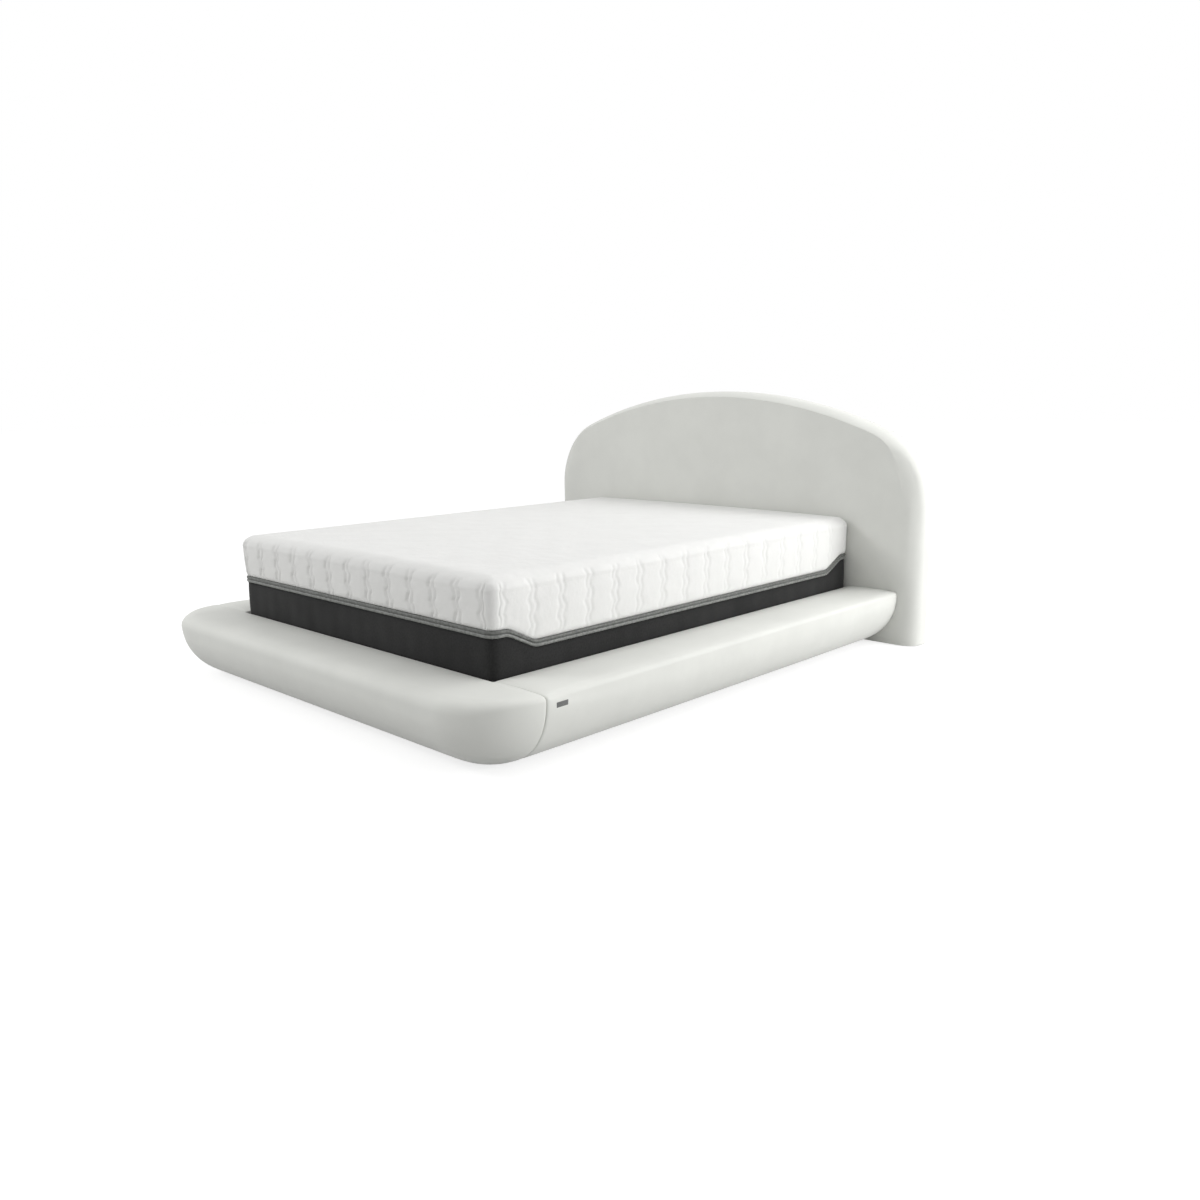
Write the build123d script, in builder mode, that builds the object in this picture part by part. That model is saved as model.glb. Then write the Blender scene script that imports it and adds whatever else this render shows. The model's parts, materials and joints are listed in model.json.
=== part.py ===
from build123d import *
import os
from math import acos, cos, pi, sin, sqrt

# Queen size platform bed: an arched padded headboard, wide bullnose side rails, a footboard with
# quarter-turned ends, a slatted base on a centre beam, and a deep mattress lying in the recess.
# Lengths are millimetres. X runs across the bed, Y towards the headboard, Z up from the floor.

# Mattress as a whole
mattress_width = 1524.0
mattress_length = 2032.0
mattress_thickness = 356.0
mattress_corner_radius = 80.0
mattress_edge_radius = 45.0
mattress_crown = 6.0
mattress_gap = 8.0

# Mattress layers, from the slats up, and its covers
base_foam_thickness = 30.0
spring_unit_thickness = 200.0
edge_foam_width = 70.0
transition_foam_thickness = 25.0
side_cover_thickness = 8.0
bottom_cover_thickness = 5.0
top_quilt_thickness = 16.0
comfort_edge_chamfer = 20.0
layer_gap = 0.4

# Tape between border and top cover: high across the two ends, lower along the sides
tape_end_height = 372.0
tape_side_height = 318.0
tape_cord_height = 12.0
tape_proud = 6.0
tape_drop_start = 12.0
tape_drop_length = 130.0
tape_bend_radius = 60.0
tape_seam = 0.2

# Upright sewn channels round the top cover's sides
channel_depth = 4.0
channels_across = 12
channels_along = 16
channels_per_corner = 1
channel_top_drop = 46.0
top_cover_proud = 1.0

# Section shared by rails and footboard, measured out from the recess and up from the floor
ledge_width = 238.0
ledge_height = 240.0
ledge_edge_radius = 16.0
ledge_crown = 4.0
hull_radius = 218.0
hull_centre_height = 216.0
hull_base = 10.0

# Padding between fabric and timber in rails and footboard
side_padding = 15.0
top_padding = 15.0
base_padding = 8.0
lining = 3.0
glue_line = 0.4

# Boards inside rails and footboard
inner_board_thickness = 18.0
top_board_thickness = 15.0
rib_thickness = 18.0
skin_thickness = 4.0
batten_height = 20.0
rail_ribs = 6
footboard_ribs = 5

# Headboard
headboard_side_reach = 87.0
headboard_height = 1095.0
headboard_depth = 115.0
headboard_arch_radius = 2410.0
headboard_shoulder_radius = 350.0
headboard_base = 3.0
edge_roll_width = 86.0
edge_roll_depth = 64.0
back_edge_chamfer = 10.0
face_padding = 35.0
edge_padding = 75.0
bottom_padding = 5.0
face_board_thickness = 12.0
back_panel_thickness = 4.0
rim_width = 70.0
stile_width = 80.0
cross_rail_height = 80.0
upper_cross_rail_drop = 615.0

# Slatted base
slat_top_height = 195.0
slat_thickness = 20.0
slat_width = 95.0
slat_count = 13
slat_end_gap = 6.0
slat_row_inset = 70.0
slat_edge_chamfer = 3.0
strap_width = 25.0
strap_thickness = 1.5
strap_inset = 170.0
ledger_height = 40.0
ledger_width = 28.0

# Centre beam, its hangers, legs and levelling feet
beam_width = 30.0
beam_height = 50.0
beam_wall = 2.0
beam_fit = 0.3
beam_end_gap = 6.0
hanger_wall = 3.0
hanger_reach = 50.0
hanger_side_height = 35.0
hanger_plate_width = 76.0
leg_width = 32.0
leg_wall = 2.0
leg_shares = (1 / 6, 1 / 2, 5 / 6)
leg_plate_length = 90.0
leg_plate_thickness = 3.0
leg_screw_spacing = 60.0
plug_flange_height = 3.0
plug_depth = 18.0
plug_fit = 0.1
leveller_base_radius = 20.0
leveller_base_height = 9.0
leveller_stem_radius = 4.0
leveller_stem_length = 40.0
leveller_stem_fit = 0.05
leveller_rest_gap = 0.3

# Corner brackets, bolts and insert nuts
bracket_leg = 60.0
bracket_thickness = 4.0
bracket_height = 80.0
bracket_base = 45.0
bracket_hole_out = 38.0
bracket_hole_spacing = 40.0
bracket_bend_radius = 6.0
bolt_radius = 4.0
bolt_fit = 0.2
bolt_head_radius = 7.5
bolt_head_height = 5.0
insert_radius = 6.0
insert_length = 18.0
insert_fit = 0.1

# Bolts, inserts and screws are faceted bars with hexagonal heads
shank_sides = 8
head_sides = 6
screw_radius = 2.5
screw_fit = 0.1
screw_head_radius = 5.0
screw_head_height = 3.0
screw_length = 45.0
short_screw_length = 16.0
long_screw_length = 75.0
ledger_screws = 5
screw_end_inset = 120.0

# Glides and the woven tab
glide_width = 35.0
glide_out = 34.0
rail_glides = 3
rail_glide_inset = 220.0
headboard_glides = 5
tab_length = 45.0
tab_height = 16.0
tab_thickness = 1.5
tab_seam_distance = 36.0
tab_low_height = 194.0

# Every cut runs past its piece by this much
overrun = 20.0

# Places worked out from the sizes above
opening_half = mattress_width / 2 + mattress_gap
opening_length = mattress_length + 2 * mattress_gap
headboard_width = 2 * (opening_half + ledge_width + headboard_side_reach)
foot_line = ledge_width - (ledge_width + opening_length + headboard_depth) / 2
head_line = foot_line + opening_length
back_line = head_line + headboard_depth
mattress_middle = (foot_line + head_line) / 2
hull_centre_out = ledge_width - hull_radius
board_back = lining + inner_board_thickness
core_base = hull_base + base_padding
batten_top = core_base + batten_height
top_board_base = ledge_height - top_padding - top_board_thickness
skin_depth = side_padding + glue_line
rib_depth = skin_depth + skin_thickness + glue_line
ledger_top = slat_top_height - slat_thickness
beam_base = ledger_top - beam_height
insert_hole_radius = insert_radius + insert_fit
bolt_hole_radius = bolt_radius + bolt_fit
screw_hole_radius = screw_radius + screw_fit

os.makedirs("parts", exist_ok=True)


def block(low, high, mode=Mode.ADD):
    """Box between two opposite corners, in the part at hand."""
    sizes = [top - bottom for bottom, top in zip(low, high)]
    centre = [(top + bottom) / 2 for bottom, top in zip(low, high)]
    with Locations(tuple(centre)):
        Box(*sizes, mode=mode)


def bar(start, direction, radius, length, sides=shank_sides):
    """Faceted bar that starts at a point and runs along a direction."""
    with BuildPart() as piece:
        with BuildSketch(Plane(origin=start, z_dir=direction)):
            RegularPolygon(radius, sides)
        extrude(amount=length)
    return piece.part


def shifted(start, direction, distance):
    """The point that lies a distance along a direction from a start."""
    return tuple(place + step * distance for place, step in zip(start, direction))


def bore(start, direction, radius, reach):
    """Hole for a shank cut in the part at hand, from just before a start to a reach past it."""
    add(bar(shifted(start, direction, -overrun), direction, radius, reach + overrun), mode=Mode.SUBTRACT)


def clipped(form, *boxes):
    """What of a form lies inside one or more boxes, each given by two opposite corners."""
    with BuildPart() as window:
        for low, high in boxes:
            block(low, high)
    with BuildPart() as piece:
        add(form)
        add(window.part, mode=Mode.INTERSECT)
    return piece.part


def evenly(first, last, count):
    """Places from first to last at even steps, both ends included."""
    return [first + (last - first) * step / (count - 1) for step in range(count)]


# Rails and footboard: one section, drawn in from its outside by padding or boards


def hull_section(side_depth, base_depth, top_depth, edge_radius=0, crown=0, faceted=False):
    """Section with x out from the recess and y up: flat top, belly that curves under to the base."""
    radius = hull_radius - side_depth
    low = hull_base + base_depth
    high = ledge_height - top_depth - crown
    out = ledge_width - side_depth
    bend_share = sqrt(1 / 2)
    low_out = hull_centre_out + sqrt(radius**2 - (hull_centre_height - low) ** 2)
    low_point = (low_out, low)
    middle_point = (hull_centre_out + radius * bend_share, hull_centre_height - radius * bend_share)
    with BuildSketch() as section:
        with BuildLine():
            Line((0, low), low_point)
            belly = Polyline if faceted else ThreePointArc
            belly(low_point, middle_point, (out, hull_centre_height))
            Line((out, hull_centre_height), (out, high))
            if crown:
                ThreePointArc((out, high), (out / 2, high + crown), (0, high))
            else:
                Line((out, high), (0, high))
            Line((0, high), (0, low))
        make_face()
        if edge_radius:
            outer_corner = section.vertices().group_by(Axis.Y)[-1].sort_by(Axis.X)[-1]
            fillet(outer_corner, edge_radius)
    return section.sketch


outer_section = hull_section(0, 0, 0, ledge_edge_radius, ledge_crown)
cavity_section = hull_section(side_padding, base_padding, top_padding)
board_section = hull_section(skin_depth, base_padding, top_padding)
skin_inside_section = hull_section(skin_depth + skin_thickness, base_padding, top_padding)
rib_section = hull_section(rib_depth, base_padding, top_padding)
corner_cavity_section = hull_section(side_padding, base_padding, top_padding, faceted=True)
corner_foam_section = hull_section(skin_depth, base_padding, top_padding, faceted=True)


def end_plane(side):
    """Section plane at the seam between a rail and the footboard, x pointing out of the recess."""
    return Plane((side * opening_half, foot_line, 0), x_dir=(side, 0, 0), z_dir=(0, -side, 0))


def rail_form(section, side, extra=0):
    """A rail's section run from the footboard's seam to the headboard's face, and past it by extra."""
    with BuildPart() as form:
        with BuildSketch(end_plane(side)):
            add(section)
        extrude(amount=-side * (opening_length + extra))
    return form.part


def footboard_form(section, corner_section=None):
    """A section run across the foot, and it or another turned through a quarter circle at each end."""
    with BuildPart() as form:
        with BuildSketch(Plane((opening_half, foot_line, 0), x_dir=(0, -1, 0), z_dir=(-1, 0, 0))):
            add(section)
        extrude(amount=2 * opening_half)
        for side in (1, -1):
            with BuildSketch(end_plane(side)):
                add(corner_section or section)
            revolve(axis=Axis((side * opening_half, foot_line, 0), (0, 0, -side)), revolution_arc=90)
    return form.part


def rail_box(side, near, far, low, high):
    """Box the length of a rail, between two places out from the recess and two heights."""
    low_x, high_x = sorted((side * (opening_half + near), side * (opening_half + far)))
    return (low_x, foot_line, low), (high_x, head_line, high)


# Headboard: arched outline, and the padded form with its edge rolled back


def headboard_outline(inset, plane=Plane.XY):
    """Arched outline drawn in by inset: straight sides, two shoulder arcs and one flat arch."""
    arch_centre_height = headboard_height - headboard_arch_radius
    shoulder_out = headboard_width / 2 - headboard_shoulder_radius
    centre_distance = headboard_arch_radius - headboard_shoulder_radius
    join_angle = acos(shoulder_out / centre_distance)
    shoulder_height = arch_centre_height + centre_distance * sin(join_angle)
    radius = headboard_shoulder_radius - inset
    half_turn, join = [
        (shoulder_out + radius * cos(angle), shoulder_height + radius * sin(angle))
        for angle in (join_angle / 2, join_angle)
    ]
    side = shoulder_out + radius
    with BuildLine(plane) as outline:
        for hand in (1, -1):
            Line((hand * side, headboard_base), (hand * side, shoulder_height))
            turn_points = [(side, shoulder_height), half_turn, join]
            ThreePointArc(*[(hand * out, up) for out, up in turn_points])
        ThreePointArc(join, (0, headboard_height - inset), (-join[0], join[1]))
    return outline.line


def headboard_slab(inset, front, back):
    """The outline filled, between two depths behind the headboard's face."""
    side = headboard_width / 2 - inset
    with BuildPart() as slab:
        with BuildSketch(Plane.XZ.offset(-head_line - back)):
            with BuildLine():
                add(headboard_outline(inset))
                Line((-side, headboard_base), (side, headboard_base))
            make_face()
        extrude(amount=back - front)
    return slab.part


def headboard_roll():
    """The rolled edge: a quarter ellipse from face to back, swept up one side, over and down."""
    straight_back = headboard_depth - back_edge_chamfer
    back_corner = (edge_roll_width - back_edge_chamfer, headboard_depth)
    with BuildPart() as roll:
        add(headboard_outline(edge_roll_width, Plane.XZ.offset(-head_line)))
        with BuildSketch(Plane((headboard_width / 2 - edge_roll_width, head_line, headboard_base))):
            with BuildLine():
                EllipticalCenterArc((0, edge_roll_depth), edge_roll_width, edge_roll_depth, 270, arc_size=90)
                Polyline(
                    (edge_roll_width, edge_roll_depth),
                    (edge_roll_width, straight_back),
                    back_corner,
                    (0, headboard_depth),
                    (0, 0),
                )
            make_face()
        sweep()
    return roll.part


with BuildPart() as headboard_outside:
    add(headboard_slab(edge_roll_width, 0, headboard_depth))
    add(headboard_roll())

core_front = face_padding + face_board_thickness
core_back = headboard_depth - back_panel_thickness
core_foot = headboard_base + bottom_padding
core_inset = edge_padding + glue_line

# Corner brackets: the places that their holes, bolts and insert nuts share

bracket_hole_heights = (
    bracket_base + (bracket_height - bracket_hole_spacing) / 2,
    bracket_base + (bracket_height + bracket_hole_spacing) / 2,
)
foot_corners = [(side, foot_line, 1) for side in (1, -1)]
head_corners = [(side, head_line, -1) for side in (1, -1)]


def rail_bolts(side, line, inward):
    """Bolt starts on a rail's inner face, each with the direction in which the bolt goes in."""
    along = line + inward * bracket_hole_out
    return [((side * opening_half, along, height), (side, 0, 0)) for height in bracket_hole_heights]


def end_bolts(side, line, inward):
    """Bolt starts on the footboard's or the headboard's face beside a corner."""
    across = side * (opening_half - bracket_hole_out)
    return [((across, line, height), (0, -inward, 0)) for height in bracket_hole_heights]


foot_bolts = [place for corner in foot_corners for place in end_bolts(*corner)]
head_bolts = [place for corner in head_corners for place in end_bolts(*corner)]
ledger_screw_places = evenly(foot_line + screw_end_inset, head_line - screw_end_inset, ledger_screws)
ledger_screw_height = ledger_top - ledger_height / 2
hanger_base = beam_base - hanger_wall
hanger_height = hanger_wall + hanger_side_height
hanger_side_out = beam_width / 2 + beam_fit + hanger_wall
hanger_screw_out = (hanger_side_out + hanger_plate_width / 2) / 2



def hanger_screws(line, direction):
    """Screw starts behind a beam hanger's ears, each with the direction in which the screw goes in."""
    height = hanger_base + hanger_height / 2
    return [((across, line, height), direction) for across in (-hanger_screw_out, hanger_screw_out)]


foot_screws = hanger_screws(foot_line, (0, -1, 0))
head_screws = hanger_screws(head_line, (0, 1, 0))

# Side rails, right then left

for side, side_name in ((1, "right"), (-1, "left")):
    side_bolts = [
        place for corner in foot_corners + head_corners if corner[0] == side for place in rail_bolts(*corner)
    ]
    screw_starts = [(side * opening_half, along, ledger_screw_height) for along in ledger_screw_places]
    behind_board = rail_box(side, board_back, ledge_width, core_base, top_board_base)

    with BuildPart() as rail_cover:
        add(rail_form(outer_section, side, overrun))
        add(headboard_outside.part, mode=Mode.SUBTRACT)
        cavity_box = rail_box(side, lining, ledge_width, 0, ledge_height)
        add(clipped(rail_form(cavity_section, side), cavity_box), mode=Mode.SUBTRACT)
        for start, direction in side_bolts:
            bore(start, direction, bolt_hole_radius, board_back)
        for start in screw_starts:
            bore(start, (side, 0, 0), screw_hole_radius, board_back)
    rail_cover.part.label = f"{side_name}_rail_cover"
    export_step(rail_cover.part, f"parts/{side_name}_rail_cover.step")

    with BuildPart() as inner_board:
        block(*rail_box(side, lining, board_back, core_base, ledge_height - top_padding))
        for start, direction in side_bolts:
            bore(start, direction, insert_hole_radius, board_back + overrun)
        for start in screw_starts:
            bore(start, (side, 0, 0), screw_hole_radius, board_back + overrun)
    inner_board.part.label = f"{side_name}_rail_inner_board"
    export_step(inner_board.part, f"parts/{side_name}_rail_inner_board.step")

    with BuildPart() as top_board:
        top_board_box = rail_box(side, board_back, ledge_width, top_board_base, ledge_height - top_padding)
        add(clipped(rail_form(board_section, side), top_board_box))
    top_board.part.label = f"{side_name}_rail_top_board"
    export_step(top_board.part, f"parts/{side_name}_rail_top_board.step")

    with BuildPart() as ribs:
        (low_x, _, _), (high_x, _, _) = behind_board
        rib_starts = evenly(foot_line, head_line - rib_thickness, rail_ribs)
        rib_boxes = [
            ((low_x, start, batten_top), (high_x, start + rib_thickness, top_board_base))
            for start in rib_starts
        ]
        add(clipped(rail_form(rib_section, side), *rib_boxes))
    ribs.part.label = f"{side_name}_rail_ribs"
    export_step(ribs.part, f"parts/{side_name}_rail_ribs.step")

    with BuildPart() as skin:
        add(clipped(rail_form(board_section, side), behind_board))
        add(rail_form(skin_inside_section, side), mode=Mode.SUBTRACT)
    skin.part.label = f"{side_name}_rail_skin"
    export_step(skin.part, f"parts/{side_name}_rail_skin.step")

    with BuildPart() as batten:
        batten_box = rail_box(side, board_back, ledge_width, core_base, batten_top)
        add(clipped(rail_form(rib_section, side), batten_box))
    batten.part.label = f"{side_name}_rail_batten"
    export_step(batten.part, f"parts/{side_name}_rail_batten.step")

    with BuildPart() as ledger:
        block(*rail_box(side, -ledger_width, 0, ledger_top - ledger_height, ledger_top))
        for start in screw_starts:
            head_start = shifted(start, (side, 0, 0), -ledger_width)
            bore(head_start, (side, 0, 0), screw_hole_radius, ledger_width + overrun)
    ledger.part.label = f"{side_name}_slat_ledger"
    export_step(ledger.part, f"parts/{side_name}_slat_ledger.step")

# Footboard

footboard_reach = opening_half + ledge_width
foot_front = foot_line - ledge_width
foot_board_back = foot_line - board_back


def foot_box(half_width, near, far, low, high):
    """Box across the footboard, between two places out from the recess and two heights."""
    return (-half_width, foot_line - far, low), (half_width, foot_line - near, high)


with BuildPart() as footboard_cover:
    add(footboard_form(outer_section))
    cavity_box = foot_box(footboard_reach, lining, ledge_width, 0, ledge_height)
    cavity = footboard_form(cavity_section, corner_cavity_section)
    add(clipped(cavity, cavity_box), mode=Mode.SUBTRACT)
    for start, direction in foot_bolts:
        bore(start, direction, bolt_hole_radius, board_back)
    for start, direction in foot_screws:
        bore(start, direction, screw_hole_radius, board_back)
footboard_cover.part.label = "footboard_cover"
export_step(footboard_cover.part, "parts/footboard_cover.step")

with BuildPart() as footboard_back_board:
    back_board_box = foot_box(footboard_reach, lining, board_back, core_base, ledge_height - top_padding)
    add(clipped(footboard_form(rib_section, corner_foam_section), back_board_box))
    for start, direction in foot_bolts:
        bore(start, direction, insert_hole_radius, board_back + overrun)
    for start, direction in foot_screws:
        bore(start, direction, screw_hole_radius, board_back + overrun)
footboard_back_board.part.label = "footboard_back_board"
export_step(footboard_back_board.part, "parts/footboard_back_board.step")

with BuildPart() as footboard_top_board:
    top_box = foot_box(footboard_reach, board_back, ledge_width, top_board_base, ledge_height - top_padding)
    add(clipped(footboard_form(board_section, corner_foam_section), top_box))
footboard_top_board.part.label = "footboard_top_board"
export_step(footboard_top_board.part, "parts/footboard_top_board.step")

with BuildPart() as footboard_rib_set:
    rib_starts = evenly(-opening_half, opening_half - rib_thickness, footboard_ribs)
    rib_boxes = [
        ((start, foot_front, batten_top), (start + rib_thickness, foot_board_back, top_board_base))
        for start in rib_starts
    ]
    add(clipped(footboard_form(rib_section), *rib_boxes))
footboard_rib_set.part.label = "footboard_ribs"
export_step(footboard_rib_set.part, "parts/footboard_ribs.step")

with BuildPart() as footboard_skin:
    skin_box = foot_box(opening_half, board_back, ledge_width, core_base, top_board_base)
    add(clipped(footboard_form(board_section), skin_box))
    add(footboard_form(skin_inside_section), mode=Mode.SUBTRACT)
footboard_skin.part.label = "footboard_skin"
export_step(footboard_skin.part, "parts/footboard_skin.step")

with BuildPart() as footboard_batten:
    batten_box = foot_box(opening_half, board_back, ledge_width, core_base, batten_top)
    add(clipped(footboard_form(rib_section), batten_box))
footboard_batten.part.label = "footboard_batten"
export_step(footboard_batten.part, "parts/footboard_batten.step")

with BuildPart() as footboard_corner_foam:
    corner_boxes = [
        ((opening_half, foot_front, core_base), (footboard_reach, foot_board_back, top_board_base)),
        ((-footboard_reach, foot_front, core_base), (-opening_half, foot_board_back, top_board_base)),
    ]
    add(clipped(footboard_form(board_section, corner_foam_section), *corner_boxes))
footboard_corner_foam.part.label = "footboard_corner_foam"
export_step(footboard_corner_foam.part, "parts/footboard_corner_foam.step")

# Headboard

with BuildPart() as headboard_cover:
    add(headboard_outside.part)
    cavity_box = (
        (-headboard_width, head_line + face_padding, core_foot),
        (headboard_width, back_line, headboard_height),
    )
    cavity = clipped(headboard_slab(edge_padding, face_padding, headboard_depth), cavity_box)
    add(cavity, mode=Mode.SUBTRACT)
    for start, direction in head_bolts:
        bore(start, direction, bolt_hole_radius, core_front)
    for start, direction in head_screws:
        bore(start, direction, screw_hole_radius, core_front)
headboard_cover.part.label = "headboard_cover"
export_step(headboard_cover.part, "parts/headboard_cover.step")


def headboard_board(inset, front, back):
    """A board of the arched outline that stands on the cover's bottom padding."""
    low = (-headboard_width, head_line + front, core_foot)
    high = (headboard_width, head_line + back, headboard_height)
    return clipped(headboard_slab(inset, front, back), (low, high))


with BuildPart() as headboard_face_board:
    add(headboard_board(core_inset, face_padding, core_front))
    for start, direction in head_bolts:
        bore(start, direction, bolt_hole_radius, core_front + overrun)
    for start, direction in head_screws:
        bore(start, direction, screw_hole_radius, core_front + overrun)
headboard_face_board.part.label = "headboard_face_board"
export_step(headboard_face_board.part, "parts/headboard_face_board.step")

with BuildPart() as headboard_rim:
    add(headboard_board(core_inset, core_front, core_back))
    add(headboard_slab(core_inset + rim_width, core_front, core_back), mode=Mode.SUBTRACT)
headboard_rim.part.label = "headboard_rim"
export_step(headboard_rim.part, "parts/headboard_rim.step")

stile_places = (bracket_hole_out - opening_half, 0, opening_half - bracket_hole_out)
core_span = (head_line + core_front, head_line + core_back)

with BuildPart() as headboard_stiles:
    stile_boxes = [
        (
            (place - stile_width / 2, core_span[0], core_foot),
            (place + stile_width / 2, core_span[1], headboard_height),
        )
        for place in stile_places
    ]
    add(clipped(headboard_slab(core_inset + rim_width + glue_line, core_front, core_back), *stile_boxes))
    for start, direction in head_bolts:
        bore(start, direction, insert_hole_radius, core_front + insert_length)
    for start, direction in head_screws:
        bore(start, direction, screw_hole_radius, long_screw_length)
headboard_stiles.part.label = "headboard_stiles"
export_step(headboard_stiles.part, "parts/headboard_stiles.step")

with BuildPart() as headboard_cross_rails:
    rim_inside = headboard_width / 2 - core_inset - rim_width
    bay_starts = [-rim_inside] + [place + stile_width / 2 for place in stile_places]
    bay_ends = [place - stile_width / 2 for place in stile_places] + [rim_inside]
    for low_x, high_x in zip(bay_starts, bay_ends):
        for height in (core_foot, headboard_height - upper_cross_rail_drop):
            block((low_x, core_span[0], height), (high_x, core_span[1], height + cross_rail_height))
headboard_cross_rails.part.label = "headboard_cross_rails"
export_step(headboard_cross_rails.part, "parts/headboard_cross_rails.step")

with BuildPart() as headboard_back_panel:
    add(headboard_board(core_inset, core_back, headboard_depth))
headboard_back_panel.part.label = "headboard_back_panel"
export_step(headboard_back_panel.part, "parts/headboard_back_panel.step")

# Glides under everything that meets the floor


def glide(across, along, height):
    """Square pad under a piece, from the floor up to the height of its underside, in the part at hand."""
    half = glide_width / 2
    block((across - half, along - half, 0), (across + half, along + half, height))


with BuildPart() as headboard_glide_set:
    glide_half_span = headboard_width / 2 - edge_roll_width
    for across in evenly(-glide_half_span, glide_half_span, headboard_glides):
        glide(across, head_line + (core_front + core_back) / 2, headboard_base)
headboard_glide_set.part.label = "headboard_glides"
export_step(headboard_glide_set.part, "parts/headboard_glides.step")

with BuildPart() as frame_glides:
    for side in (1, -1):
        for along in evenly(foot_line + rail_glide_inset, head_line - rail_glide_inset, rail_glides):
            glide(side * (opening_half + glide_out), along, hull_base)
    for across in evenly(-opening_half + rail_glide_inset, opening_half - rail_glide_inset, rail_glides):
        glide(across, foot_line - glide_out, hull_base)
frame_glides.part.label = "frame_glides"
export_step(frame_glides.part, "parts/frame_glides.step")

# Corner brackets, their bolts and insert nuts


def corner_bracket(side, line, inward):
    """Bent steel angle in one corner of the recess, with two bolt holes in each leg."""
    corner = (side * opening_half, line)
    inner_corner = (side * (opening_half - bracket_thickness), line + inward * bracket_thickness)
    rail_end = line + inward * bracket_leg
    cross_end = side * (opening_half - bracket_leg)
    with BuildPart() as bracket:
        with BuildSketch(Plane.XY.offset(bracket_base)) as angle:
            with BuildLine():
                Polyline(
                    corner,
                    (corner[0], rail_end),
                    (inner_corner[0], rail_end),
                    inner_corner,
                    (cross_end, inner_corner[1]),
                    (cross_end, line),
                    close=True,
                )
            make_face()
            fillet(angle.vertices().sort_by_distance((*inner_corner, 0))[0], bracket_bend_radius)
            fillet(
                angle.vertices().sort_by_distance((*corner, 0))[0],
                bracket_bend_radius + bracket_thickness,
            )
        extrude(amount=bracket_height)
        for start, direction in rail_bolts(side, line, inward) + end_bolts(side, line, inward):
            bore(start, direction, bolt_hole_radius, overrun)
    return bracket.part


def fastener(start, direction, radius, length, head_radius, head_height):
    """Shank from a start along a direction, with a hexagonal head before it, in the part at hand."""
    add(bar(start, direction, radius, length))
    add(bar(shifted(start, direction, -head_height), direction, head_radius, head_height, head_sides))


with BuildPart() as foot_corner_brackets:
    for corner in foot_corners:
        add(corner_bracket(*corner))
foot_corner_brackets.part.label = "foot_corner_brackets"
export_step(foot_corner_brackets.part, "parts/foot_corner_brackets.step")

with BuildPart() as head_corner_brackets:
    for corner in head_corners:
        add(corner_bracket(*corner))
head_corner_brackets.part.label = "head_corner_brackets"
export_step(head_corner_brackets.part, "parts/head_corner_brackets.step")

all_rail_bolts = [place for corner in foot_corners + head_corners for place in rail_bolts(*corner)]
board_bolts = foot_bolts + all_rail_bolts

with BuildPart() as bracket_bolts:
    bolt_length = bracket_thickness + board_back
    for start, direction in board_bolts:
        seat = shifted(start, direction, -bracket_thickness)
        fastener(seat, direction, bolt_radius, bolt_length, bolt_head_radius, bolt_head_height)
bracket_bolts.part.label = "bracket_bolts"
export_step(bracket_bolts.part, "parts/bracket_bolts.step")

with BuildPart() as headboard_bolts:
    bolt_length = bracket_thickness + core_front + insert_length
    for start, direction in head_bolts:
        seat = shifted(start, direction, -bracket_thickness)
        fastener(seat, direction, bolt_radius, bolt_length, bolt_head_radius, bolt_head_height)
headboard_bolts.part.label = "headboard_bolts"
export_step(headboard_bolts.part, "parts/headboard_bolts.step")

with BuildPart() as insert_nuts:
    nut_starts = [(shifted(start, direction, lining), direction) for start, direction in board_bolts]
    nut_starts += [(shifted(start, direction, core_front), direction) for start, direction in head_bolts]
    for start, direction in nut_starts:
        add(bar(start, direction, insert_radius, insert_length))
        bore(start, direction, bolt_hole_radius, insert_length + overrun)
insert_nuts.part.label = "insert_nuts"
export_step(insert_nuts.part, "parts/insert_nuts.step")

# Slatted base: ledger screws, slats and the webbing that spaces them

with BuildPart() as ledger_screw_set:
    for side in (1, -1):
        for along in ledger_screw_places:
            seat = (side * (opening_half - ledger_width), along, ledger_screw_height)
            fastener(seat, (side, 0, 0), screw_radius, screw_length, screw_head_radius, screw_head_height)
ledger_screw_set.part.label = "ledger_screws"
export_step(ledger_screw_set.part, "parts/ledger_screws.step")

slat_half_length = opening_half - slat_end_gap
slat_places = evenly(foot_line + slat_row_inset, head_line - slat_row_inset, slat_count)

with BuildPart() as slats:
    with BuildSketch(Plane.YZ.offset(-slat_half_length)) as slat_ends:
        with Locations(*[(along, slat_top_height - slat_thickness / 2) for along in slat_places]):
            Rectangle(slat_width, slat_thickness)
        chamfer(slat_ends.vertices(), slat_edge_chamfer)
    extrude(amount=2 * slat_half_length)
slats.part.label = "slats"
export_step(slats.part, "parts/slats.step")

with BuildPart() as slat_straps:
    strap_base = ledger_top - strap_thickness
    for side in (1, -1):
        strap_middle = side * (opening_half - strap_inset)
        block(
            (strap_middle - strap_width / 2, slat_places[0] - slat_width / 2, strap_base),
            (strap_middle + strap_width / 2, slat_places[-1] + slat_width / 2, ledger_top),
        )
slat_straps.part.label = "slat_straps"
export_step(slat_straps.part, "parts/slat_straps.step")

# Centre beam on its two hangers, and three legs with levelling feet

leg_places = [foot_line + opening_length * share for share in leg_shares]
leg_screw_starts = [
    (0, along + step * leg_screw_spacing / 2, beam_base - leg_plate_thickness)
    for along in leg_places
    for step in (1, -1)
]
leg_base = leveller_base_height + leveller_rest_gap + plug_flange_height
leg_top = beam_base - leg_plate_thickness



def square_post(along, half_width, low, high, mode=Mode.ADD):
    """Upright square block on the centre line, between two heights, in the part at hand."""
    block((-half_width, along - half_width, low), (half_width, along + half_width, high), mode=mode)


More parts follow.
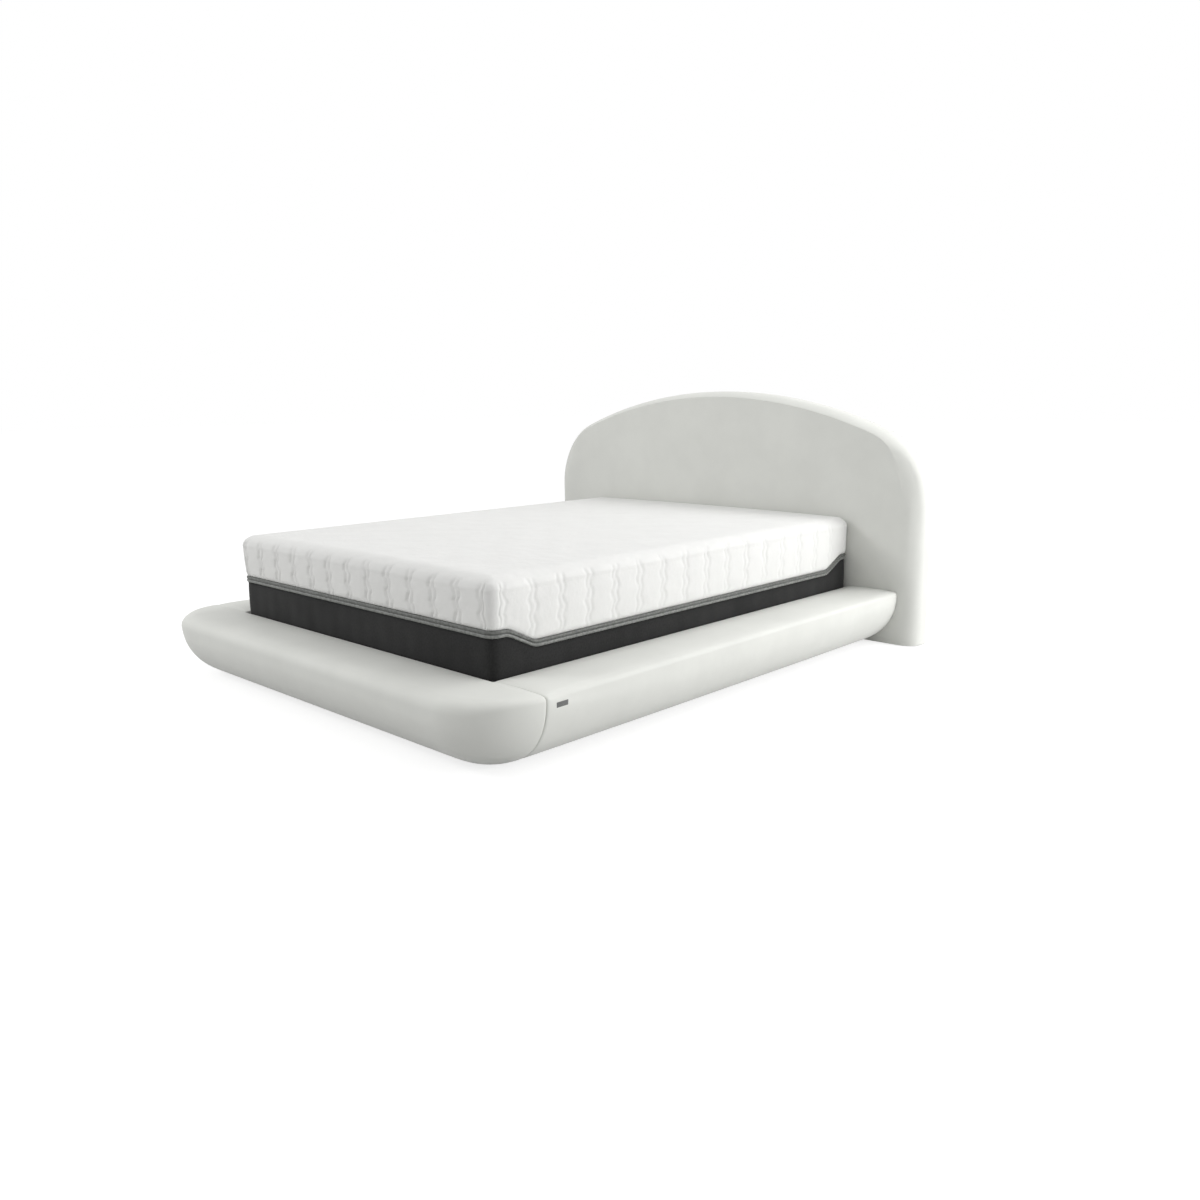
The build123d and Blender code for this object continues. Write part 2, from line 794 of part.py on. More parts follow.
def rod(start, radius, length, mode=Mode.ADD):
    """Upright cylinder on a start, in the part at hand."""
    with Locations(start):
        Cylinder(radius, length, align=(Align.CENTER, Align.CENTER, Align.MIN), mode=mode)


with BuildPart() as centre_beam:
    beam_low = (-beam_width / 2, foot_line + beam_end_gap, beam_base)
    beam_high = (beam_width / 2, head_line - beam_end_gap, ledger_top)
    block(beam_low, beam_high)
    block(
        (beam_low[0] + beam_wall, beam_low[1] - overrun, beam_low[2] + beam_wall),
        (beam_high[0] - beam_wall, beam_high[1] + overrun, beam_high[2] - beam_wall),
        mode=Mode.SUBTRACT,
    )
    for start in leg_screw_starts:
        bore(start, (0, 0, 1), screw_hole_radius, leg_plate_thickness + beam_wall)
centre_beam.part.label = "centre_beam"
export_step(centre_beam.part, "parts/centre_beam.step")

with BuildPart() as beam_hangers:
    channel_half = beam_width / 2 + beam_fit
    for line, inward, screws in ((foot_line, 1, foot_screws), (head_line, -1, head_screws)):
        plate_low, plate_high = sorted((line, line + inward * hanger_wall))
        saddle_low, saddle_high = sorted((line, line + inward * hanger_reach))
        channel_start = line + inward * hanger_wall
        channel_low, channel_high = sorted((channel_start, channel_start + inward * (hanger_reach + overrun)))
        hanger_top = hanger_base + hanger_height
        plate_half = hanger_plate_width / 2
        block((-plate_half, plate_low, hanger_base), (plate_half, plate_high, hanger_top))
        block((-hanger_side_out, saddle_low, hanger_base), (hanger_side_out, saddle_high, hanger_top))
        block(
            (-channel_half, channel_low, beam_base),
            (channel_half, channel_high, hanger_top + overrun),
            mode=Mode.SUBTRACT,
        )
        for start, direction in screws:
            bore(start, direction, screw_hole_radius, overrun)
beam_hangers.part.label = "beam_hangers"
export_step(beam_hangers.part, "parts/beam_hangers.step")

with BuildPart() as beam_screws:
    foot_seats = [(shifted(start, direction, -hanger_wall), direction) for start, direction in foot_screws]
    for seat, direction in foot_seats + [(start, (0, 0, 1)) for start in leg_screw_starts]:
        fastener(seat, direction, screw_radius, short_screw_length, screw_head_radius, screw_head_height)
beam_screws.part.label = "beam_screws"
export_step(beam_screws.part, "parts/beam_screws.step")

with BuildPart() as headboard_screws:
    for start, direction in head_screws:
        seat = shifted(start, direction, -hanger_wall)
        fastener(seat, direction, screw_radius, long_screw_length, screw_head_radius, screw_head_height)
headboard_screws.part.label = "headboard_screws"
export_step(headboard_screws.part, "parts/headboard_screws.step")

with BuildPart() as centre_legs:
    for along in leg_places:
        square_post(along, leg_width / 2, leg_base, leg_top)
        square_post(along, leg_width / 2 - leg_wall, leg_base, leg_top, mode=Mode.SUBTRACT)
        block(
            (-beam_width / 2, along - leg_plate_length / 2, leg_top),
            (beam_width / 2, along + leg_plate_length / 2, beam_base),
        )
    for start in leg_screw_starts:
        bore(start, (0, 0, 1), screw_hole_radius, overrun)
centre_legs.part.label = "centre_legs"
export_step(centre_legs.part, "parts/centre_legs.step")

with BuildPart() as leg_plugs:
    for along in leg_places:
        flange_base = leg_base - plug_flange_height
        bore_radius = leveller_stem_radius + leveller_stem_fit
        square_post(along, leg_width / 2, flange_base, leg_base)
        square_post(along, leg_width / 2 - leg_wall - plug_fit, leg_base, leg_base + plug_depth)
        rod((0, along, flange_base), bore_radius, plug_depth + overrun, mode=Mode.SUBTRACT)
leg_plugs.part.label = "leg_plugs"
export_step(leg_plugs.part, "parts/leg_plugs.step")

for along, place_name in zip(leg_places, ("foot", "middle", "head")):
    with BuildPart() as leveller:
        add(bar((0, along, 0), (0, 0, 1), leveller_base_radius, leveller_base_height, head_sides))
        rod((0, along, leveller_base_height), leveller_stem_radius, leveller_stem_length)
    leveller.part.label = f"{place_name}_leveller"
    export_step(leveller.part, f"parts/{place_name}_leveller.step")

# Mattress: its rounded block, the contoured tape line and the channelled side

mattress_base = slat_top_height
mattress_top = mattress_base + mattress_thickness
inner_inset = side_cover_thickness + layer_gap
filling_base = mattress_base + bottom_cover_thickness
springs_base = filling_base + base_foam_thickness
springs_top = springs_base + spring_unit_thickness
comfort_base = springs_top + transition_foam_thickness
comfort_top = mattress_top - top_quilt_thickness


def mattress_block(inset, low, high, edge_chamfer=0):
    """Rounded block of the mattress's outline drawn in by inset, between two heights."""
    with BuildPart() as solid:
        with BuildSketch(Plane((0, mattress_middle, low))):
            RectangleRounded(
                mattress_width - 2 * inset, mattress_length - 2 * inset, mattress_corner_radius - inset
            )
        extrude(amount=high - low)
        if edge_chamfer:
            chamfer(solid.edges().group_by(Axis.Z)[-1], edge_chamfer)
    return solid.part


def tape_line(shift):
    """Side view of the tape: high at both ends, dropping to run lower along the sides."""
    near = mattress_middle - mattress_length / 2 + tape_drop_start
    far = mattress_middle + mattress_length / 2 - tape_drop_start
    high = tape_end_height + shift
    low = tape_side_height + shift
    return FilletPolyline(
        (near - mattress_length, high),
        (near, high),
        (near + tape_drop_length, low),
        (far - tape_drop_length, low),
        (far, high),
        (far + mattress_length, high),
        radius=tape_bend_radius,
    )


def tape_slab(low_shift, high_shift):
    """All that lies between two lines that run beside the tape's middle line."""
    with BuildPart() as slab:
        with BuildSketch(Plane.YZ.offset(-mattress_width)):
            with BuildLine():
                lower = tape_line(low_shift)
                upper = tape_line(high_shift)
                Line(lower @ 0, upper @ 0)
                Line(lower @ 1, upper @ 1)
            make_face()
        extrude(amount=2 * mattress_width)
    return slab.part


def channel_points():
    """Seams and crests of the channels in turn round the mattress's middle, back to the first seam."""
    points = []
    sides = (
        (channels_across, mattress_width, mattress_length),
        (channels_along, mattress_length, mattress_width),
    )
    for quarter in range(4):
        count, length, span = sides[quarter % 2]
        half_straight = length / 2 - mattress_corner_radius
        corner_centre = (half_straight, mattress_corner_radius - span / 2)
        run = []
        for number, place in enumerate(evenly(-half_straight, half_straight, 2 * count + 1)):
            drawn_in = channel_depth * ((number + 1) % 2)
            run.append((place, drawn_in - span / 2))
        for number in range(1, 2 * channels_per_corner):
            angle = pi / 2 * (number / (2 * channels_per_corner) - 1)
            radius = mattress_corner_radius - channel_depth * ((number + 1) % 2)
            run.append((corner_centre[0] + radius * cos(angle), corner_centre[1] + radius * sin(angle)))
        for _ in range(quarter):
            run = [(-up, across) for across, up in run]
        points += run
    return points + points[:1]


with BuildPart() as mattress_base_foam:
    add(mattress_block(inner_inset, filling_base, springs_base))
mattress_base_foam.part.label = "mattress_base_foam"
export_step(mattress_base_foam.part, "parts/mattress_base_foam.step")

springs_half_width = mattress_width / 2 - inner_inset - edge_foam_width
springs_half_length = mattress_length / 2 - inner_inset - edge_foam_width
springs_low = (-springs_half_width, mattress_middle - springs_half_length, springs_base)
springs_high = (springs_half_width, mattress_middle + springs_half_length, springs_top)

with BuildPart() as mattress_spring_unit:
    block(springs_low, springs_high)
mattress_spring_unit.part.label = "mattress_spring_unit"
export_step(mattress_spring_unit.part, "parts/mattress_spring_unit.step")

filling = mattress_block(inner_inset, springs_base, springs_top)
reach = mattress_length
long_strips = [
    ((springs_high[0], -reach, springs_base), (reach, reach, springs_top)),
    ((-reach, -reach, springs_base), (springs_low[0], reach, springs_top)),
]
end_strips = [
    ((springs_low[0], springs_high[1], springs_base), (springs_high[0], reach, springs_top)),
    ((springs_low[0], -reach, springs_base), (springs_high[0], springs_low[1], springs_top)),
]

with BuildPart() as mattress_side_foam:
    add(clipped(filling, *long_strips))
mattress_side_foam.part.label = "mattress_side_foam"
export_step(mattress_side_foam.part, "parts/mattress_side_foam.step")

with BuildPart() as mattress_end_foam:
    add(clipped(filling, *end_strips))
mattress_end_foam.part.label = "mattress_end_foam"
export_step(mattress_end_foam.part, "parts/mattress_end_foam.step")

with BuildPart() as mattress_transition_foam:
    add(mattress_block(inner_inset, springs_top, comfort_base))
mattress_transition_foam.part.label = "mattress_transition_foam"
export_step(mattress_transition_foam.part, "parts/mattress_transition_foam.step")

with BuildPart() as mattress_comfort_foam:
    add(mattress_block(inner_inset, comfort_base, comfort_top - layer_gap, comfort_edge_chamfer))
mattress_comfort_foam.part.label = "mattress_comfort_foam"
export_step(mattress_comfort_foam.part, "parts/mattress_comfort_foam.step")

with BuildPart() as mattress_border:
    add(mattress_block(0, mattress_base, mattress_top))
    add(mattress_block(side_cover_thickness, filling_base, mattress_top + overrun), mode=Mode.SUBTRACT)
    add(tape_slab(-mattress_thickness, -tape_cord_height - tape_seam), mode=Mode.INTERSECT)
mattress_border.part.label = "mattress_border"
export_step(mattress_border.part, "parts/mattress_border.step")

for cord_name, low_shift in (("lower", -tape_cord_height), ("upper", tape_seam)):
    with BuildPart() as cord:
        add(mattress_block(-tape_proud, mattress_base, mattress_top))
        add(mattress_block(side_cover_thickness, mattress_base, mattress_top), mode=Mode.SUBTRACT)
        add(tape_slab(low_shift, low_shift + tape_cord_height - tape_seam), mode=Mode.INTERSECT)
    cord.part.label = f"mattress_{cord_name}_cord"
    export_step(cord.part, f"parts/mattress_{cord_name}_cord.step")

band_top = mattress_top - channel_top_drop

with BuildPart() as top_dome:
    add(mattress_block(-top_cover_proud, mattress_base, mattress_top))
    crown_radius = mattress_width**2 / (8 * mattress_crown)
    with Locations((0, mattress_middle, mattress_top - crown_radius)):
        Cylinder(crown_radius, 2 * mattress_length, rotation=(90, 0, 0), mode=Mode.INTERSECT)
    fillet(top_dome.faces().sort_by(Axis.Z)[-1].edges(), mattress_edge_radius)

with BuildPart() as mattress_top_cover:
    with BuildSketch(Plane((0, mattress_middle, mattress_base))):
        with BuildLine():
            points = channel_points()
            for start in range(0, len(points) - 1, 2):
                ThreePointArc(*points[start : start + 3])
        make_face()
    extrude(amount=band_top - mattress_base)
    above_band = ((-reach, -reach, band_top), (reach, reach, mattress_top))
    add(clipped(top_dome.part, above_band))
    add(tape_slab(tape_cord_height + tape_seam, mattress_thickness), mode=Mode.INTERSECT)
    filling_space = mattress_block(side_cover_thickness, mattress_base, comfort_top, comfort_edge_chamfer)
    add(filling_space, mode=Mode.SUBTRACT)
mattress_top_cover.part.label = "mattress_top_cover"
export_step(mattress_top_cover.part, "parts/mattress_top_cover.step")

# Plain woven tab sewn to the right rail beside the seam

with BuildPart() as fabric_tab:
    tab_section = hull_section(-tab_thickness, 0, 0)
    tab_low = (opening_half, foot_line + tab_seam_distance, tab_low_height)
    tab_high = (
        opening_half + ledge_width + tab_thickness,
        tab_low[1] + tab_length,
        tab_low_height + tab_height,
    )
    add(clipped(rail_form(tab_section, 1), (tab_low, tab_high)))
    add(rail_form(outer_section, 1), mode=Mode.SUBTRACT)
fabric_tab.part.label = "fabric_tab"
export_step(fabric_tab.part, "parts/fabric_tab.step")
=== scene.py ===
import json
import math

import bmesh
import bpy
import numpy as np
from bpy.props import FloatProperty, FloatVectorProperty, IntProperty, PointerProperty
from bpy.types import Operator, Panel, PropertyGroup
from mathutils import Matrix, Vector


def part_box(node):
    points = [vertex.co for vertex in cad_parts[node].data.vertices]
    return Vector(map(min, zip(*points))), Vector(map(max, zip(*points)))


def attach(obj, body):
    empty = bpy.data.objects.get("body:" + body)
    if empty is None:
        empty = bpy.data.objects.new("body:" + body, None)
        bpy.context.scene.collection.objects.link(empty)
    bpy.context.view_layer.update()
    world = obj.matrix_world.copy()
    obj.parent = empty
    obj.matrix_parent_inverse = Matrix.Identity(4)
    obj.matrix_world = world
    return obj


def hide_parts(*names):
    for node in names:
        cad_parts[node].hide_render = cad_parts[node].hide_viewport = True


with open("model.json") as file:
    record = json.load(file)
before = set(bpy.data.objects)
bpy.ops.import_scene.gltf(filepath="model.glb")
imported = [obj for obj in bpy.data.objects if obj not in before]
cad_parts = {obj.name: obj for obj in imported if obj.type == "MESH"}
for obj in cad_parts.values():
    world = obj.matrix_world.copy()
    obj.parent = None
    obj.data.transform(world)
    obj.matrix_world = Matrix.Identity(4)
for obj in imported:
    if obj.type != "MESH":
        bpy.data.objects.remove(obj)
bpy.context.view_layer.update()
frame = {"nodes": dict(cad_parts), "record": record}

bl_info = {
    "name": "Upholstered platform bed",
    "version": (1, 0, 0),
    "blender": (4, 5, 0),
    "location": "View3D > Sidebar > Bed",
    "description": "Dresses a padded platform bed, its slatted base and its mattress",
    "category": "Object",
}

nodes = frame["nodes"]

# Places that the solids give: the recess, the headboard's planes and the mattress's block
opening_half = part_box("right_rail_cover")[0].x
foot_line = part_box("footboard_cover")[1].y
head_line, back_line = (corner.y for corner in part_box("headboard_cover"))
headboard_half, headboard_top = (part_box("headboard_cover")[1][axis] for axis in (0, 2))
mattress_low, mattress_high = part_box("mattress_border")
mattress_half = mattress_high.x
mattress_base = mattress_low.z
mattress_front, mattress_back = mattress_low.y, mattress_high.y
mattress_middle = (mattress_front + mattress_back) / 2
mattress_reach = (mattress_back - mattress_front) / 2
mattress_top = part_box("mattress_top_cover")[1].z

# Sizes that the solids' boxes don't tell, in metres
ledge_rise = 0.020  # ledge's edge above the centre of the belly's curve
slat_count, slat_width, strap_width = 13, 0.095, 0.025
panel_inset, panel_staple_inset = 0.0745, 0.084  # from the headboard's outline
channel_pitch = 0.115
drop_end, drop_length, drop_bend = 0.170, 0.110, 0.014  # the tape's drop, measured from an end
side_height = 0.235  # of the cover's padded side above the tape
lining_low, lining_high = 0.51, 0.534  # inside of the cover, over the transition foam
lining_inset = 0.008  # thickness of the cover's, border's and cords' sides
tuft_pitch, tuft_depth = 0.22, 0.0012
cord_proud = 0.0058  # how far a gathered cord stands out
cloth_frames = 20

# Steps round half of the headboard: up its side, round its shoulder and along its arch
side_steps, shoulder_steps, arch_steps = 26, 16, 32

# The photo's camera as it was fitted: degrees, metres, and pixels of a square frame
azimuth, elevation, roll = (math.radians(value) for value in (42.58, 10.17, -0.43))
camera_place = (3.04685, -2.82548, 1.06648)
frame_pixels, focal_pixels, centre_across, centre_down = 1200, 1008.0, 631.4, 578.89
sensor_width = 36  # millimetres

# Name, place, point looked at, width, height and power in watts
lamps = (
    ("key", (4.8, 2.3, 1.1), (0, 0.1, 0.3), 2.4, 1.4, 128),
    ("top", (1.6, 2.8, 5.0), (0.2, 0.5, 0.4), 3.0, 2.5, 102),
    ("front", (-4.0, -5.2, 4.2), (-0.3, 0, 0.5), 2.0, 2.0, 135),
)
world_light = 0.66
# The floor looks almost white, with the bed's shadow on it, but throws less light up at the bed
floor_shown, floor_glow, floor_plain = 0.40, 0.75, 0.56


def linear(code):
    """Linear red, green and blue of an sRGB colour written as six hex digits."""
    shares = [int(code[start : start + 2], 16) / 255 for start in (1, 3, 5)]
    return tuple(s / 12.92 if s <= 0.04045 else ((s + 0.055) / 1.055) ** 2.4 for s in shares)


# Sizes and colours that a user would change


def metres(name, default, description):
    """Property for a length that a user may change."""
    return FloatProperty(name=name, description=description, default=default, unit="LENGTH")


class BedSizes(PropertyGroup):
    """Sizes of the soft pieces, in metres."""

    ledge_width: metres("Ledge width", 0.238, "Width of rails and footboard")
    ledge_crown: metres("Ledge crown", 0.004, "How far the ledge's middle rises")
    hull_radius: metres("Belly radius", 0.218, "Radius of the curve that turns under")
    hull_centre: metres("Belly centre height", 0.216, "Height of that curve's centre")
    hull_base: metres("Rail base", 0.010, "Height of the underside above the floor")
    ledge_edge: metres("Ledge edge", 0.016, "Radius of the ledge's outer edge")
    footboard_edge: metres("Footboard edge", 0.034, "Radius of the footboard's outer edge")
    recess_edge: metres("Recess edge", 0.007, "Radius of the edge round the recess")
    seam_round: metres("Seam rounding", 0.0065, "How far a butt seam's edges pull in")
    arch_radius: metres("Arch radius", 2.410, "Radius of the headboard's top")
    shoulder_radius: metres("Shoulder radius", 0.350, "Radius of the headboard's shoulders")
    side_roll: metres("Side roll width", 0.086, "Width of the soft roll at the sides")
    top_roll: metres("Top roll width", 0.026, "Width of the tight roll on the arch")
    roll_depth: metres("Roll depth", 0.064, "Depth of the rolled edge")
    swell: metres("Swell", 0.0025, "Most that fabric may stand out")
    corner_radius: metres("Mattress corner", 0.034, "Radius of the mattress's corners")
    edge_radius: metres("Mattress edge", 0.045, "Radius of the mattress's top edge")
    mattress_crown: metres("Mattress crown", 0.006, "How far the top's middle rises")
    channel_depth: metres("Channel depth", 0.0078, "Depth of the sewn channels")
    belly: metres("Side belly", 0.007, "How far the padded sides swell")
    channels_across: IntProperty(name="Channels across", description="Channels on an end", default=12)
    channels_along: IntProperty(name="Channels along", description="Channels on a side", default=16)
    tape_high: metres("Tape height at ends", 0.372, "Tape's middle at the ends")
    tape_low: metres("Tape height at sides", 0.318, "Tape's middle along the sides")
    tape_cord: metres("Tape cord height", 0.012, "Height of each gathered cord")
    stitch_pitch: metres("Stitch pitch", 0.0055, "From one stitch to the next")
    staple_pitch: metres("Staple pitch", 0.045, "From one staple to the next")
    pocket_width: metres("Spring pocket width", 0.060, "Width of one spring pocket")


def colour(name, description, code):
    """Property for a colour that a user may change."""
    return FloatVectorProperty(
        name=name, description=description, subtype="COLOR", size=3, min=0, max=1, default=linear(code)
    )


class BedColours(PropertyGroup):
    """Colours of the finishes."""

    upholstery: colour("Upholstery", "Coated fabric of the bed", "#DBDCD7")
    cover_knit: colour("Cover knit", "Knit of the mattress's top", "#E4E4E2")
    border_knit: colour("Border knit", "Charcoal knit round the mattress", "#252525")
    tape_dark: colour("Upper tape", "Upper gathered cord", "#6A6C69")
    tape_light: colour("Lower tape", "Lower gathered cord", "#838582")
    foam: colour("Foam", "Polyurethane foam", "#EDE6C9")
    pine: colour("Pine", "Planed pine", "#DDBE8C")
    birch: colour("Birch plywood", "Birch veneer", "#DDC7A0")
    slat: colour("Slat wood", "Lacquered beech", "#D9B98A")
    black: colour("Powder coat", "Black steel", "#1F2022")
    zinc: colour("Zinc", "Zinc-plated steel", "#C9CAC4")


# Nodes


def add_node(tree, kind, inputs=(), **settings):
    """Adds a node, sets its properties, and fills or links its inputs."""
    made = tree.nodes.new(kind)
    for name, value in settings.items():
        setattr(made, name, value)
    for socket, value in dict(inputs).items():
        if isinstance(value, bpy.types.NodeSocket):
            tree.links.new(value, made.inputs[socket])
        else:
            made.inputs[socket].default_value = value
    return made


def calculate(tree, operation, *values):
    """The result of one sum on numbers or sockets."""
    return add_node(tree, "ShaderNodeMath", dict(enumerate(values)), operation=operation).outputs[0]


def spans(tree, value, low, high):
    """Stretches what lies between two values to 0 and 1."""
    settings = {"Value": value, "From Min": low, "From Max": high}
    return add_node(tree, "ShaderNodeMapRange", settings, clamp=True).outputs["Result"]


def noise(tree, place, scale, detail, **more):
    """Height of a cloudy pattern."""
    inputs = {"Vector": place, "Scale": scale, "Detail": detail, **more}
    return add_node(tree, "ShaderNodeTexNoise", inputs).outputs["Fac"]


def cells(tree, place, scale, randomness=1):
    """Height of a pattern of cells, each 1 m / scale across."""
    inputs = {"Vector": place, "Scale": scale, "Randomness": randomness}
    return add_node(tree, "ShaderNodeTexVoronoi", inputs).outputs["Distance"]


def bands(tree, place, scale, direction, **more):
    """Height of a pattern of bands, 0.314 m / scale apart along an axis."""
    inputs = {"Vector": place, "Scale": scale, **more}
    return add_node(tree, "ShaderNodeTexWave", inputs, bands_direction=direction).outputs["Fac"]


def shader(name, **shares):
    """A new material with one principled shader, and the coordinates of the piece itself."""
    made = bpy.data.materials.new(name)
    made.use_nodes = True
    tree = made.node_tree
    tree.nodes.clear()
    surface = add_node(tree, "ShaderNodeBsdfPrincipled", shares)
    add_node(tree, "ShaderNodeOutputMaterial", {"Surface": surface.outputs["BSDF"]})
    place = add_node(tree, "ShaderNodeTexCoord").outputs["Object"]
    return made, tree, surface, place


def darker(rgb, share):
    """A colour taken down to a share of itself."""
    return tuple(value * share for value in rgb)


def paint(tree, surface, amount, low, high):
    """Colours the surface between two colours by an amount from 0 to 1."""
    mixed = add_node(tree, "ShaderNodeMix", {0: amount, 6: (*low, 1), 7: (*high, 1)}, data_type="RGBA")
    tree.links.new(mixed.outputs[2], surface.inputs["Base Color"])


def mottle(tree, surface, pattern, low, high, share, rgb):
    """Colours the surface from a share of its colour to all of it, as a pattern runs between two values."""
    paint(tree, surface, spans(tree, pattern, low, high), darker(rgb, share), rgb)


def raise_grain(tree, surface, *layers):
    """Bumps on the surface: each layer is a height, its depth in metres and its strength."""
    last = None
    for height, depth, strength in layers:
        settings = {"Height": height, "Distance": depth, "Strength": strength}
        if last:
            settings["Normal"] = last
        last = add_node(tree, "ShaderNodeBump", settings).outputs["Normal"]
    tree.links.new(last, surface.inputs["Normal"])


# Finishes


def coated_fabric(colours):
    """Polyurethane-coated upholstery fabric, pebble grained: matte, with a faint sheen and soft clouds."""
    shares = {"Roughness": 0.62, "IOR": 1.45, "Sheen Weight": 0.12, "Sheen Roughness": 0.5}
    made, tree, surface, place = shader("polyurethane_coated_fabric", **shares)
    clouds = noise(tree, place, 5, 4, Roughness=0.55)
    mottle(tree, surface, clouds, 0.35, 0.65, 0.955, colours.upholstery)
    rolls = noise(tree, place, 7, 2)
    # A real pebble is 1 to 1.5 mm across; it is drawn 2.4 mm across to show in a close view
    pebbles = cells(tree, place, 420, 0.9)
    creases = noise(tree, place, 900, 3)
    raise_grain(tree, surface, (rolls, 0.006, 0.35), (pebbles, 0.0003, 0.3), (creases, 0.0001, 0.2))
    return made


def cover_knit(colours):
    """Stretch jersey over a soft wadding: matte white, fine wales, faint quilting on the top."""
    shares = {"Roughness": 0.85, "IOR": 1.4, "Sheen Weight": 0.25, "Sheen Roughness": 0.4}
    made, tree, surface, place = shader("stretch_jersey_knit", **shares)
    clouds = noise(tree, place, 9, 5, Roughness=0.6)
    mottle(tree, surface, clouds, 0.3, 0.7, 0.965, colours.cover_knit)
    warp = add_node(tree, "ShaderNodeTexNoise", {"Vector": place, "Scale": 30, "Detail": 2})
    shift = {0: warp.outputs["Color"], 1: (0.012, 0.012, 0.004)}
    moved = add_node(tree, "ShaderNodeVectorMath", shift, operation="MULTIPLY")
    led = add_node(tree, "ShaderNodeVectorMath", {0: place, 1: moved.outputs[0]}, operation="ADD")
    # Wales and loops are under 1 mm apart; they are drawn 2.5 and 2.1 mm apart so that they show
    wales = bands(tree, led.outputs[0], 178, "DIAGONAL", Distortion=1.5, Detail=2)
    loops = cells(tree, place, 480)
    puffs = noise(tree, place, 21, 3, Roughness=0.5)
    raise_grain(tree, surface, (puffs, 0.006, 0.5), (wales, 0.0005, 0.25), (loops, 0.0003, 0.3))
    return made


def border_knit(colours):
    """Spacer knit in charcoal melange: very matte, flecked, with small hexagonal cells."""
    shares = {"Roughness": 0.92, "IOR": 1.4, "Sheen Weight": 0.2, "Sheen Roughness": 0.35}
    made, tree, surface, place = shader("charcoal_spacer_knit", **shares)
    flecks = noise(tree, place, 160, 3)
    patches = noise(tree, place, 6, 3)
    both = calculate(tree, "MULTIPLY", flecks, patches)
    mottle(tree, surface, both, 0.16, 0.36, 0.55, colours.border_knit)
    # Cells are about 3 mm across
    weave = cells(tree, place, 330, 0.35)
    raise_grain(tree, surface, (patches, 0.003, 0.3), (weave, 0.0006, 0.6))
    return made


def gathered_tape(name, rgb):
    """Gathered polyester tape: satin folds, with painted shade where they tuck in."""
    shares = {"Roughness": 0.55, "IOR": 1.5, "Sheen Weight": 0.15, "Sheen Roughness": 0.3}
    made, tree, surface, place = shader(name, **shares)
    folds = noise(tree, place, 110, 3)
    # Painted shade: the colour darkens where the fold pattern sinks, for the shade in the tucks
    mottle(tree, surface, folds, 0.38, 0.62, 0.62, rgb)
    # Threads of a fine tape are 0.4 mm apart; they are drawn 1.2 mm apart
    threads = bands(tree, place, 262, "Z", Distortion=2)
    raise_grain(tree, surface, (folds, 0.001, 0.5), (threads, 0.0002, 0.4))
    return made


def woven_strap(name, rgb, scale):
    """Plain woven strap: flat threads over and under, matte, with painted shade where the threads pass under,
    which leaves the floats looking faintly shiny.
    """
    made, tree, surface, place = shader(name, Roughness=0.7, IOR=1.45)
    across, upright, sideways = (bands(tree, place, scale, axis) for axis in "YZX")
    over = calculate(tree, "MULTIPLY", across, calculate(tree, "MULTIPLY", upright, sideways))
    # Painted shade: the threads are darker where they pass under, and the floats keep the full colour
    paint(tree, surface, over, darker(rgb, 0.6), rgb)
    raise_grain(tree, surface, (over, 0.0004, 0.7))
    return made


def foam_surface(name, rgb):
    """Cut polyurethane foam: open cells, very matte, slightly yellowed in patches."""
    made, tree, surface, place = shader(name, Roughness=0.95, IOR=1.35)
    mottle(tree, surface, noise(tree, place, 6, 3), 0.3, 0.7, 0.88, rgb)
    # Cells are about 1 mm across; they are drawn 2 mm across
    raise_grain(tree, surface, (cells(tree, place, 500), 0.0008, 0.8))
    return made


def spunbond(name, rgb):
    """Spunbonded polypropylene: matte felt of fine fibres, embossed with a grid of dots."""
    made, tree, surface, place = shader(name, Roughness=0.8, IOR=1.45)
    fibres = noise(tree, place, 220, 6, Distortion=3)
    mottle(tree, surface, fibres, 0.35, 0.65, 0.75, rgb)
    # Dots are embossed about 2 mm apart; they are drawn 2.9 mm apart
    dots = cells(tree, place, 350, 0.05)
    raise_grain(tree, surface, (dots, 0.0003, 0.5), (fibres, 0.0003, 0.4))
    return made


def sawn_wood(name, rgb, along, rough, shine):
    """Wood cut along one axis: long grain streaks 3 to 6 mm wide, fine pores and paler sapwood."""
    made, tree, surface, place = shader(name, Roughness=rough, IOR=1.5, **{"Coat Weight": shine})
    stretch = [22, 22, 22]
    stretch[along] = 1.2
    drawn = add_node(tree, "ShaderNodeMapping", {"Vector": place, "Scale": stretch}).outputs[0]
    rings = noise(tree, drawn, 1.6, 6, Distortion=0.8)
    streaks = noise(tree, drawn, 9, 5, Roughness=0.7)
    mottle(tree, surface, calculate(tree, "MULTIPLY", rings, streaks), 0.16, 0.36, 0.76, rgb)
    raise_grain(tree, surface, (streaks, 0.0003, 0.35))
    return made


def birch_plywood(colours):
    """Birch plywood: pale rotary-cut faces, and edges banded every 1.4 mm."""
    made, tree, surface, place = shader("birch_plywood", Roughness=0.6, IOR=1.5)
    drawn = add_node(tree, "ShaderNodeMapping", {"Vector": place, "Scale": (2, 14, 14)}).outputs[0]
    figure = noise(tree, drawn, 3, 6)
    # The bands are drawn 3 mm apart
    plies = bands(tree, place, 105, "Z")
    mottle(tree, surface, calculate(tree, "MULTIPLY_ADD", figure, plies, 0.1), 0.1, 0.6, 0.75, colours.birch)
    raise_grain(tree, surface, (figure, 0.0003, 0.3))
    return made


def powder_coat(colours):
    """Powder-coated steel: black, fine orange peel, soft gloss, paler on handled spots."""
    made, tree, surface, place = shader("black_powder_coat", Roughness=0.42, IOR=1.5)
    worn = noise(tree, place, 14, 5)
    paint(tree, surface, spans(tree, worn, 0.45, 0.75), colours.black, darker(colours.black, 1.8))
    tree.links.new(spans(tree, worn, -0.4, 1.6), surface.inputs["Roughness"])
    raise_grain(tree, surface, (noise(tree, place, 420, 2), 0.0002, 0.3))
    return made


